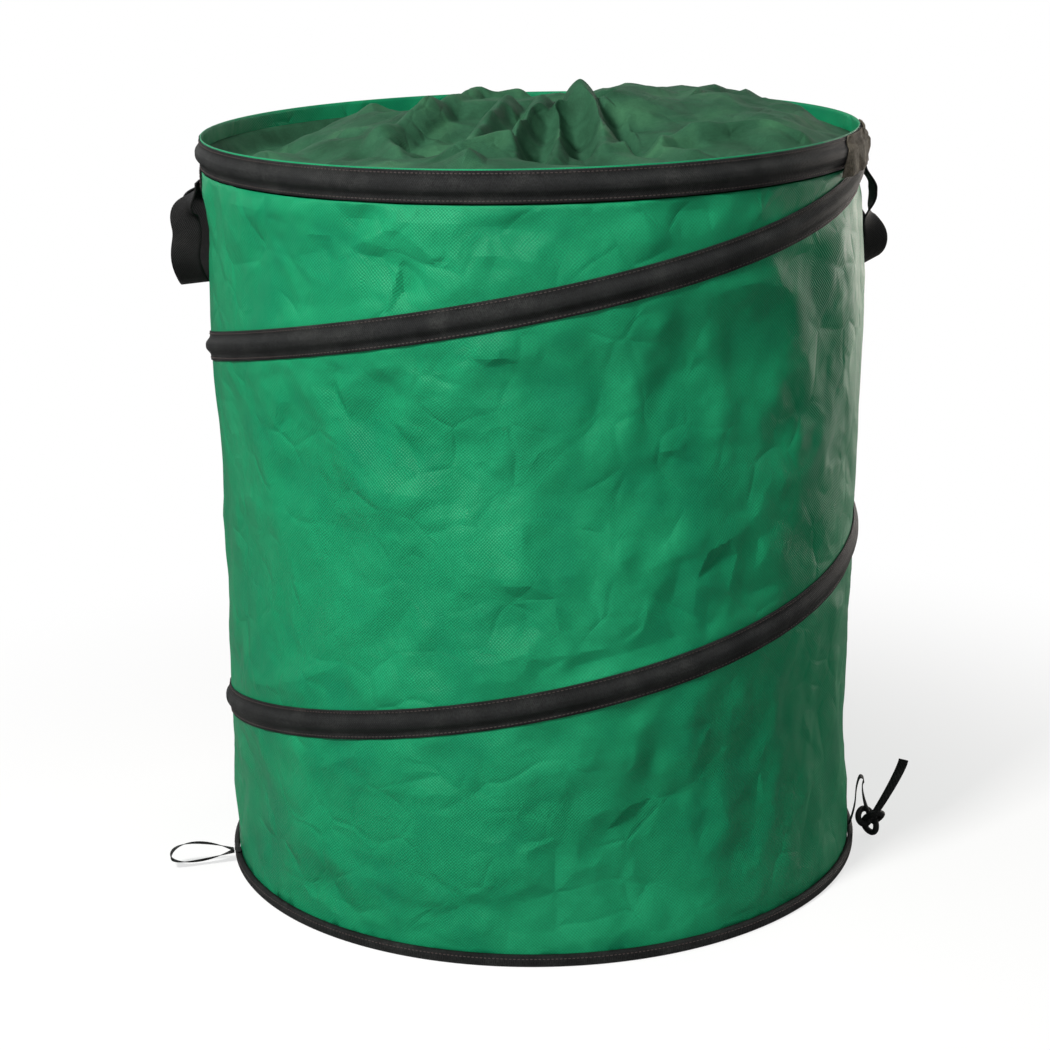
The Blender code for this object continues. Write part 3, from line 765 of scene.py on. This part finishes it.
def stitch_row(name, points, outs, body, squashed=False):
    """A row of lockstitches, each a small spindle of thread sunk in the tape."""
    seed = bmesh.new()
    bmesh.ops.create_uvsphere(seed, u_segments=6, v_segments=4, radius=1)
    stitch = bpy.data.meshes.new("stitch")
    seed.to_mesh(stitch)
    seed.free()
    bm = bmesh.new()
    for first, second, out in zip(points[::2], points[1::2], outs[::2]):
        run = second - first
        side = out.cross(run).normalized()
        turned = Matrix((run.normalized(), side, out)).transposed().to_4x4()
        size = Matrix.Diagonal((run.length / 2, 0.42 * MM, 0.32 * MM, 1))
        place = Matrix.Translation((first + second) / 2) @ turned @ size
        stitch.transform(place)
        bm.from_mesh(stitch)
        stitch.transform(place.inverted())
    bpy.data.meshes.remove(stitch)
    made = finish_piece(name, bm, THREAD)
    hangs_on(made, body, "black_tape")
    if squashed:
        presses_flat(made)


def level_at(height):
    """The middle of a tape or a row that goes round level."""
    return lambda azimuth: height + 0 * azimuth


def round_row(height_at, turns, rise):
    """Ends of the stitches along a row at a rise from a tape's middle, and the ways they face."""
    start, end = turns
    pitch, gap_share = 3.4 * MM, 0.3
    count = int(abs(end - start) * RADIUS / pitch)
    points, outs = [], []
    for index in range(count):
        for part in (0, 1 - gap_share):
            azimuth = start + (end - start) * (index + part) / count
            out = Vector((cos(azimuth), sin(azimuth), 0))
            radius = RADIUS + GAP + TAPE + 0.1 * MM
            points.append(out * radius + UP * (height_at(azimuth) + rise))
            outs.append(out)
    return points, outs


def make_tapes():
    """The rim tape and the spiral tape, each sewn down along both edges."""
    level = level_at(RIM_WIRE_Z)
    rim = sheet_of("rim_tape", (384, 18), (tau * RADIUS, TAPE_WIDTH), tape_place((0, tau), level),
                   BINDING, TAPE, joined=True)
    hangs_on(rim, "rim", "black_tape", "top_binding")
    low = spiral_azimuth(SPIRAL_LOW - TAPE_WIDTH / 2 + 3 * MM)
    high = spiral_azimuth(SPIRAL_HIGH + TAPE_WIDTH / 2 - 3 * MM)
    length = (high - low) * sqrt(RADIUS ** 2 + (PITCH / tau) ** 2)
    spiral = sheet_of("spiral_tape_sewn", (760, 18), (length, TAPE_WIDTH),
                      tape_place((low, high), spiral_z, (SPIRAL_LOW, SPIRAL_HIGH)), BINDING, TAPE)
    hangs_on(spiral, "base", "black_tape", "spiral_tape")
    presses_flat(spiral)
    edge = TAPE_WIDTH / 2 - 2.2 * MM
    for name, rise in (("low", -edge), ("high", edge)):
        stitch_row("rim_stitches_" + name, *round_row(level, (0, tau), rise), "rim")
        start = max(low, spiral_azimuth(SPIRAL_LOW - rise + 2 * MM))
        end = min(high, spiral_azimuth(SPIRAL_HIGH - rise - 2 * MM))
        points, outs = round_row(spiral_z, (start, end), rise)
        stitch_row("spiral_stitches_" + name, points, outs, "base", squashed=True)


make_tapes()


def make_floor_binding():
    """The narrow folded tape round the floor hoop."""
    rounded = 2.2 * MM
    section = []
    for rise, start in ((rounded, -90), (BINDING_HEIGHT - rounded, 0)):
        for step in range(5):
            turn = radians(start + 90 * step / 4)
            section.append((BULGE - rounded + rounded * cos(turn), rise + rounded * sin(turn)))
    section = np.array([(0.6 * MM, 0)] + section + [(0.6 * MM, BINDING_HEIGHT)])
    flat = tau * RADIUS, 20 * MM

    def place(u, v):
        at = v * (len(section) - 1)
        first = np.minimum(at.astype(int), len(section) - 2)
        part = (at - first)[:, None]
        where = section[first] * (1 - part) + section[first + 1] * part
        return round_at(RADIUS + where[:, 0], u * tau, where[:, 1])
    made = sheet_of("floor_binding", (384, len(section) - 1), flat, place, BINDING, 0.5 * MM,
                    joined=True)
    hangs_on(made, "base", "black_tape", "bottom_binding")
    points, outs = round_row(level_at(BINDING_HEIGHT - 2.4 * MM), (0, tau), 0)
    points = [point + out * (BULGE - GAP - TAPE - 0.1 * MM) for point, out in zip(points, outs)]
    stitch_row("floor_stitches", points, outs, "base")


make_floor_binding()


# Wires: the frame's own are right; the spiral is made again
for node in ("bottom_hoop_wire", "bottom_hoop_ferrule", "top_hoop_wire", "top_hoop_ferrule"):
    frame["nodes"][node].data.materials.clear()
    frame["nodes"][node].data.materials.append(STEEL)


def make_spiral_wire():
    """The middle wire, one winding from the rim's tape to the floor's."""
    low = spiral_azimuth(SPIRAL_LOW + 6 * MM)
    high = spiral_azimuth(SPIRAL_HIGH - 6 * MM)

    def place(u, v):
        azimuth = low + (high - low) * u
        turn = -tau * v
        return round_at(RADIUS + WIRE_OUT + WIRE_RADIUS * np.cos(turn), azimuth,
                        spiral_z(azimuth) + WIRE_RADIUS * np.sin(turn))
    length = (high - low) * RADIUS
    made = sheet_of("spiral_spring_wire", (560, 12), (length, tau * WIRE_RADIUS), place, STEEL,
                    joined=True)
    hangs_on(made, "base", "spring_steel", "spiral_wire")
    presses_flat(made)


make_spiral_wire()


# The collar

MOUTH = Vector((48, -8, 0)) * MM
MOUTH_RADIUS = 27 * MM
MOUTH_TWIST = radians(25)
COLLAR_FABRIC = 0.6 * MM
SEAM_DROP = 14
# Shares of the collar's sheet: from its seam to the mouth, and from there down inside the neck
COLLAR_TOP = 0.86
COLLAR_NECK = 0.14
# How the collar lies along lines from its seam to the mouth: azimuth, then height over the rim in
# millimetres a quarter, half and three quarters of the way and at the mouth
COLLAR_LIE = (
    (22.5, 9, 17, 21, 34),
    (37.5, 12, 20, 24, 33),
    (52.5, 6, 20, 24, 32),
    (75, -6, 8, 18, 29),
    (97.5, -12, -5, 6, 26),
    (120, -12, -6, 4, 22),
    (142.5, -10, -2, 6, 22),
    (160, -7, 5, 11, 22),
    (172.5, -16, 3, 21, 23),
    (187.5, -16, -8, 22, 24),
    (202.5, -4, -1, 12, 25),
    (210, -6, 6, 9, 26),
    (225, -10, -3, 16, 27),
    (240, -2, 2, 14, 28),
    (252, 0, 7, 19, 29),
    (261, -3, 9, 20, 30),
    (268, -7, 4, 19, 31),
    (275, -8, -1, 15, 32),
    (282, -8, -1, 18, 33),
    (289, -7, 4, 19, 34),
    (296, -6, 2, 14, 34),
    (305, -5, -1, 12, 34),
    (315, -2, 4, 12, 34),
    (330, 5, 8, 17, 35),
    (345, 7, 11, 20, 36),
)


def collar_height(share, azimuth):
    """Height over the rim of the collar's broad folds, in metres."""
    starts = np.array([line[0] for line in COLLAR_LIE], float)
    heights = np.array([(-SEAM_DROP, *line[1:]) for line in COLLAR_LIE], float)
    turn = np.degrees(azimuth) % 360
    after = np.searchsorted(starts, turn, side="right") % len(starts)
    before = after - 1
    passed = (turn - starts[before]) % 360 / ((starts[after] - starts[before]) % 360)
    passed = passed * passed * (3 - 2 * passed)
    at = np.clip(share, 0, 1) * 4
    first = np.minimum(at.astype(int), 3)
    part = at - first
    ahead = np.minimum(first + 2, 4)
    behind = np.maximum(first - 1, 0)
    total = 0
    for row, weight in ((before, 1 - passed), (after, passed)):
        near, far = heights[row, first], heights[row, first + 1]
        near_run = (far - heights[row, behind]) / 2
        far_run = (heights[row, ahead] - near) / 2
        total = total + weight * smooth_run(near, near_run, far, far_run, part)
    return total * MM


# Pleats that stand up round the mouth and run down over the front: half width, then places along
# the crest as x, y and height over the rim, all in millimetres
PLEATS = (
    (15, (43, -36, 42), (49, -75, 31), (56, -115, 18), (60, -168, 2)),
    (12, (27, -60, 30), (24, -95, 23), (22, -130, 14), (20, -195, 0)),
    (11, (63, -35, 27), (70, -60, 22), (76, -90, 16), (82, -140, 4)),
    (16, (11, -40, 30), (7, -75, 26), (0, -110, 21), (-10, -160, 10)),
    (15, (-18, -20, 27), (-25, -60, 23), (-34, -95, 17), (-50, -165, 4)),
    (20, (-12, 50, 25), (-46, 40, 29), (-64, 0, 26), (-90, -50, 20), (-120, -110, 13)),
    (18, (-149, -60, 8), (-130, -70, 11), (-117, -120, 7), (-100, -175, 0)),
    (16, (-75, -200, 2), (-47, -178, 9), (-24, -163, 14), (2, -162, 16), (10, -178, 9)),
    (20, (60, -168, 2), (91, -150, 8), (130, -125, 13), (185, -105, 12), (218, -120, 5)),
)
# Hollows between them, in the same way
HOLLOWS = (
    (13, (72, -60, 2), (80, -120, -14), (94, -170, -16)),
    (12, (15, -80, 6), (10, -120, -10), (6, -150, -18), (2, -205, -16)),
    (12, (36, -70, 4), (39, -110, -12), (40, -170, -18)),
    (12, (-10, -60, 6), (-20, -110, -4), (-30, -145, -6)),
    (16, (-60, -60, 4), (-75, -110, -6), (-85, -160, -12)),
    (16, (-150, -150, -6), (-120, -195, -10)),
)


def pleat_height(x, y, half_width, crest, sign=1):
    """Height of a pleat over the rim: a rounded crest, flat flanks, steeper further down."""
    best = np.full_like(x, -1.0)
    places = np.array(crest) * MM
    for start, end in zip(places, places[1:]):
        way = end - start
        share = ((x - start[0]) * way[0] + (y - start[1]) * way[1]) / (way[0] ** 2 + way[1] ** 2)
        share = np.clip(share, 0, 1)
        far = np.hypot(x - start[0] - share * way[0], y - start[1] - share * way[1]) / half_width
        fall = half_width * (np.sqrt(far * far + 0.04) - 0.2 + 0.35 * far ** 3)
        best = np.maximum(best, sign * (start[2] + share * way[2]) - fall)
    return best


def smooth_max(first, second, blend):
    """The higher of two heights, with their meeting line rounded over a blend."""
    near = np.clip(0.5 + (second - first) / (2 * blend), 0, 1)
    return first * (1 - near) + second * near + blend * near * (1 - near)


def collar_place(u, v):
    """The collar's upper face: v runs from its seam to the mouth and on down inside the neck."""
    azimuth = u * tau
    share = np.minimum(v / COLLAR_TOP, 1)
    inside = np.clip((v - COLLAR_TOP) / COLLAR_NECK, 0, 1)
    seam = round_at(RADIUS - FABRIC - GAP - COLLAR_FABRIC, azimuth, HEIGHT)
    mouth = round_at(MOUTH_RADIUS, azimuth - MOUTH_TWIST, HEIGHT) + np.array([*MOUTH])
    spot = seam * (1 - share)[:, None] + mouth * share[:, None]
    rough = fold_depth(spot[:, 0] / RADIUS, spot[:, 1], COLLAR_FOLDS)
    ends = np.clip(share * 8, 0, 1) * np.clip((1 - share) * 3, 0.1, 1)
    level = collar_height(share, azimuth)
    # It sags along the seam at the back left, and in one broad hollow in front of the mouth
    rear = np.clip((np.cos(azimuth - radians(148)) - 0.55) / 0.2, 0, 1)
    level -= 16 * MM * rear * eased(share / 0.05) * (1 - eased((share - 0.05) / 0.33))
    aside = ((spot[:, 0] - 12 * MM) / (90 * MM)) ** 2 + ((spot[:, 1] + 85 * MM) / (72 * MM)) ** 2
    level -= 18 * MM * np.exp(-aside)
    for half_width, *crest in PLEATS:
        raised = pleat_height(spot[:, 0], spot[:, 1], half_width * MM, crest)
        level = smooth_max(level, raised, 1.5 * MM)
    for half_width, *low in HOLLOWS:
        sunk = -pleat_height(spot[:, 0], spot[:, 1], half_width * MM, low, -1)
        level = -smooth_max(-level, -sunk, 1.5 * MM)
    spot[:, 2] += level + rough * ends
    inward = mouth - np.array([*MOUTH])
    spot[:, :2] -= inward[:, :2] * (inside * 0.12)[:, None]
    spot[:, 2] -= inside * 24 * MM
    return spot


def crease_collar(spots):
    """Press the collar's large flat faces and small sharp creases in, away from seam and mouth."""
    far = np.hypot(spots[:, 0], spots[:, 1])
    close = np.hypot(spots[:, 0] - MOUTH.x, spots[:, 1] - MOUTH.y) - MOUTH_RADIUS
    room = np.clip((RADIUS - 8 * MM - far) / (30 * MM), 0, 1) * np.clip(close / (18 * MM), 0.1, 1)
    spots[:, 2] += room * facets(spots[:, 0], spots[:, 1], 44 * MM, 3.2 * MM, 14)
    spots[:, 2] += room * facets(spots[:, 0], spots[:, 1], 19 * MM, 1.3 * MM, 16)
    return spots


def make_collar():
    """The soft cover sewn inside the rim, gathered to an open mouth whose hem turns down."""
    flat = tau * RADIUS, 290 * MM
    made = sheet_of("collar_cloth", (420, 100), flat, collar_place, LINING, joined=True)
    press_creases(made, crease_collar, kept=0.27)
    thicken(made, COLLAR_FABRIC)
    hangs_on(made, "rim", "collar_cloth", "collar")


make_collar()


# Straps of webbing and narrow tape

WEBBING_WIDTH = 25 * MM
WEBBING = 1.5 * MM
HANDLE_DROP = 92 * MM
HANDLE_HALF = 35 * MM
TAB_HEIGHT = 19 * MM
HINGE_Z = RIM_TAPE_LOW - GAP - 12 * MM
NARROW_WIDTH = 9 * MM
NARROW = 0.6 * MM
LOOP_HINGE_Z = 11.5 * MM
LOOP_ROOT = 6.9 * MM


def side_ways(azimuth):
    """The way out from the wall and the way along it, at an azimuth."""
    out = np.array([cos(azimuth), sin(azimuth), 0])
    return out, np.array([-out[1], out[0], 0])


def strap_of(name, cells, line, width, thickness, look):
    """A flat strap: line gives the middle and the way its width points, at shares of its length."""
    step = 0.002
    shares = np.linspace(0, 1, 400)
    middles = line(shares)[0]
    length = np.linalg.norm(np.diff(middles, axis=0), axis=1).sum()

    def place(u, v):
        middle, side = line(u)
        run = line(np.minimum(u + step, 1))[0] - line(np.maximum(u - step, 0))[0]
        run /= np.linalg.norm(run, axis=1, keepdims=True)
        side = side - run * (side * run).sum(axis=1, keepdims=True)
        side /= np.linalg.norm(side, axis=1, keepdims=True)
        return middle + side * ((v - 0.5) * width)[:, None]
    made = sheet_of(name, cells, (length, width), place, look)
    thicken(made, thickness, 0)
    return made, length


def handle_line(azimuth, hinge_out, stand, turned, tilt):
    """A handle hanging from its sewn ends, its width turning outward towards the grip.

    stand is how far the strap hangs off the wall over the grip, turned the two drops between
    which it turns, and tilt how much its outer edge stands up.
    """
    out_way, along_way = side_ways(azimuth)
    straight = HANDLE_DROP - HANDLE_HALF
    total = 2 * straight + pi * HANDLE_HALF

    def line(u):
        run = u * total
        turn = np.clip((run - straight) / HANDLE_HALF, 0, pi)
        along = -HANDLE_HALF * np.cos(turn)
        drop = np.minimum(np.minimum(run, total - run), straight) + HANDLE_HALF * np.sin(turn)
        twist = pi / 2 * eased((drop - turned[0]) / (turned[1] - turned[0]))
        off = eased(drop / (20 * MM)) - eased((drop - 25 * MM) / (25 * MM))
        out = hinge_out + stand * off + WEBBING_WIDTH / 2 * np.sin(twist)
        out += 1.6 * MM * np.sin(11 * drop / HANDLE_DROP) * np.sin(twist)
        middle = along[:, None] * along_way + out[:, None] * out_way
        middle[:, 2] = HINGE_Z - drop
        sign = np.where(along > 0, -1, 1) * np.cos(twist)
        side = sign[:, None] * along_way + np.sin(twist)[:, None] * out_way
        side[:, 2] = tilt * eased(drop / HANDLE_DROP)
        return middle, side
    return line


def make_handle(name, azimuth, seat, stand, turned, tilt):
    """A carry handle, the two sewn ends that hold it under the rim, and their stitching."""
    out_way, along_way = side_ways(azimuth)
    face = sqrt(seat ** 2 - (HANDLE_HALF - WEBBING_WIDTH / 2) ** 2) + WEBBING
    line = handle_line(azimuth, face + GAP + WEBBING / 2, stand, turned, tilt)
    made, length = strap_of(name + "_webbing", (150, 8), line, WEBBING_WIDTH, WEBBING, WEBBING_LOOK)
    hangs_on(made, name, "black_webbing", name)
    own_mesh(made)
    front = -1 if along_way[1] > 0 else 1
    points, outs = [], []
    for end, middle in (("front", HANDLE_HALF * front), ("rear", -HANDLE_HALF * front)):
        def place(u, v):
            along = middle + (u - 0.5) * WEBBING_WIDTH
            out = np.sqrt(seat ** 2 - along ** 2) + WEBBING
            spot = along[:, None] * along_way + out[:, None] * out_way
            spot[:, 2] = RIM_TAPE_LOW - GAP - TAB_HEIGHT * (1 - v)
            return spot
        tab = sheet_of(name + "_" + end + "_end", (12, 10), (WEBBING_WIDTH, TAB_HEIGHT), place,
                       WEBBING_LOOK, WEBBING)
        hangs_on(tab, "rim", "black_webbing", name + "_" + end + "_tab")
        tab.name
        for first, second in box_ways():
            ends = place(np.array([first[0], second[0]]), np.array([first[1], second[1]]))
            points += [Vector(spot) + Vector(out_way) * 0.1 * MM for spot in ends]
            outs += [Vector(out_way)] * 2
    stitch_row(name + "_stitches", points, outs, "rim")


def box_ways():
    """The stitches of a crossed box, as pairs of ends on a square from 0 to 1."""
    corners = ((0.14, 0.14), (0.86, 0.14), (0.86, 0.86), (0.14, 0.86))
    runs = [(corners[index], corners[(index + 1) % 4]) for index in range(4)]
    runs += [(corners[0], corners[2]), (corners[1], corners[3])]
    for start, end in runs:
        count = 5
        for index in range(count):
            parts = (index + 0.12) / count, (index + 0.88) / count
            yield tuple(tuple(a + (b - a) * part for a, b in zip(start, end)) for part in parts)


make_handle("left_handle", radians(179), seat=RADIUS + GAP, stand=2 * MM,
            turned=(4 * MM, 38 * MM), tilt=-0.1)
make_handle("right_handle", radians(7.5), seat=RADIUS + 2 * GAP + TAPE, stand=10 * MM,
            turned=(22 * MM, 84 * MM), tilt=0.5)


def make_loop():
    """The closing loop of narrow tape, lying on the floor, and the tab that it is sewn to."""
    out_way, along_way = side_ways(radians(192.5))
    root = RADIUS + LOOP_ROOT

    def line(u):
        out = root + 57 * MM * (1 - np.cos(tau * u)) / 2
        swell = np.sin(tau * u) * np.sin(pi * u) / 0.77
        spread = 11 * MM * np.maximum(swell, 0) + 6.5 * MM * np.minimum(swell, 0)
        twist = radians(35) * np.sin(tau * u) ** 2
        middle = out[:, None] * out_way
        middle[:, 2] = LOOP_HINGE_Z + 0.5 * MM * np.cos(pi * u) + spread
        side = np.cos(twist)[:, None] * along_way
        side[:, 2] += np.sin(twist)
        return middle, side
    loop, length = strap_of("closing_loop", (120, 4), line, NARROW_WIDTH, NARROW, BINDING)
    hangs_on(loop, "bottom_loop", "black_tape", "bottom_loop")
    half = NARROW / 2 + 0.5 * MM
    reach = LOOP_ROOT - 0.5 * MM - NARROW / 2 - GAP / 2

    def tab_place(u, v):
        out = RADIUS + GAP + (reach - GAP) * u
        spot = out[:, None] * out_way + ((v - 0.5) * NARROW_WIDTH)[:, None] * along_way
        spot[:, 2] = LOOP_HINGE_Z + half
        return spot
    tab = sheet_of("closing_loop_end", (4, 6), (reach, NARROW_WIDTH), tab_place, BINDING, 2 * half)
    hangs_on(tab, "base", "black_tape", "loop_tab")


make_loop()


def through(values, u):
    """Points at shares of the smooth curve that passes through evenly spaced values."""
    values = np.array(values, float)
    last = len(values) - 1
    at = np.clip(u, 0, 1) * last
    first = np.minimum(at.astype(int), last - 1)
    part = (at - first)[:, None]
    start, end = values[first], values[first + 1]
    leave = (end - values[np.maximum(first - 1, 0)]) / 2
    arrive = (values[np.minimum(first + 2, last)] - start) / 2
    return smooth_run(start, leave, end, arrive, part)


def run_between(start, start_run, end, end_run, count):
    """Points of a strand from its start up to, but without, its end."""
    return smooth_run(start, start_run, end, end_run, (np.arange(count) / count)[:, None])


TIE_ROOT = ((0.8, 11.2), (3.4, 15), (6.8, 30), (8, 46), (10.4, 56), (13.4, 56.4), (14.6, 53.4))


def make_tie():
    """The tie: narrow tape sewn at the floor seam, knotted on itself, its tail standing up."""
    out_way, along_way = side_ways(radians(-5.2))
    up = np.array([0, 0, 1])

    def at(out, height, along=0):
        return out_way * (RADIUS + out * MM) + up * height * MM + along_way * along * MM
    root = [at(*place) for place in TIE_ROOT]

    def line(u):
        return through(root, u), np.tile(along_way, (len(u), 1))
    sewn, length = strap_of("tie_sewn_end", (60, 4), line, NARROW_WIDTH, NARROW, BINDING)
    hangs_on(sewn, "base", "black_tape", "tie_root")
    shares = np.linspace(0.035, 0.965, 133)
    turn = tau * shares
    knot = np.array([
        at(21 + 4 * (sin(t) + 2 * sin(2 * t)), 14.8 + 4 * (cos(t) - 2 * cos(2 * t)), 6 * sin(3 * t))
        for t in turn
    ])
    lead_run = 16 * MM
    entry = (knot[1] - knot[0]) / np.linalg.norm(knot[1] - knot[0]) * lead_run
    leave = (knot[-1] - knot[-2]) / np.linalg.norm(knot[-1] - knot[-2]) * lead_run
    lead = run_between(at(14.8, 52.6), -(up + out_way) * lead_run, knot[0], entry, 30)
    tip = at(50, 74)
    tail = np.concatenate([run_between(knot[-1], leave, tip, up * 26 * MM, 30)[1:], [tip]])
    route = np.concatenate([lead, knot, tail])
    count = len(route)
    into = eased(np.arange(count) / len(lead))
    out_of = eased(np.arange(count)[::-1] / len(tail))
    tight = np.minimum(into, out_of)
    wide = NARROW_WIDTH / 2 * (1 - tight) + 2.8 * MM * tight
    thick = NARROW / 2 * (1 - tight) + 2.8 * MM * tight
    run = np.gradient(route, axis=0)
    run /= np.linalg.norm(run, axis=1, keepdims=True)
    across = np.empty_like(route)
    side = along_way
    for index in range(count):
        side = side - run[index] * side.dot(run[index])
        side = side / np.linalg.norm(side)
        across[index] = side
    face = np.cross(run, across)

    def place(u, v):
        at_row = np.rint(u * (count - 1)).astype(int)
        angle = tau * v
        return (route[at_row] + across[at_row] * (wide[at_row] * np.cos(angle))[:, None]
                + face[at_row] * (thick[at_row] * np.sin(angle))[:, None])
    length = np.linalg.norm(np.diff(route, axis=0), axis=1).sum()
    tie = sheet_of("knotted_tie", (count - 1, 12), (length, 2 * NARROW_WIDTH), place, BINDING,
                   joined=True)
    bm = bmesh.new()
    bm.from_mesh(tie.data)
    bmesh.ops.holes_fill(bm, edges=bm.edges, sides=12)
    bmesh.ops.recalc_face_normals(bm, faces=bm.faces)
    bm.to_mesh(tie.data)
    bm.free()
    hangs_on(tie, "tie", "black_tape", "tie_strap")


make_tie()


def make_joint_patch():
    """The end of the rim's tape, folded over on itself where the spiral tape comes in."""
    start, end = radians(-30), 0

    def place(u, v):
        slant = np.radians(-24 - 5 * (1 - v))
        azimuth = slant + (end - slant) * u
        height = RIM_WIRE_Z + 12.9 * MM - (TAPE_WIDTH + 6 * MM) * (1 - v)
        crush = facets(azimuth * RADIUS, height, 12 * MM, 1.8 * MM, 21)
        edge = eased(np.minimum(u, 1 - u) * 10)
        over = np.where(height < RIM_WIRE_Z, BULGE - TAPE, tape_bulge(height - RIM_WIRE_Z))
        crumpled = (0.8 * MM + np.abs(crush)) * edge
        return round_at(RADIUS + over + 2 * TAPE + GAP + crumpled, azimuth, height)
    flat = (end - start) * RADIUS * 0.8, TAPE_WIDTH
    # Its grey finish is painted sheen, the light on the folded end
    made = sheet_of("rim_joint_tape", (90, 40), flat, place, PATCH_SHEEN_LOOK, TAPE)
    hangs_on(made, "rim", "black_tape", "rim_joint_patch")


make_joint_patch()
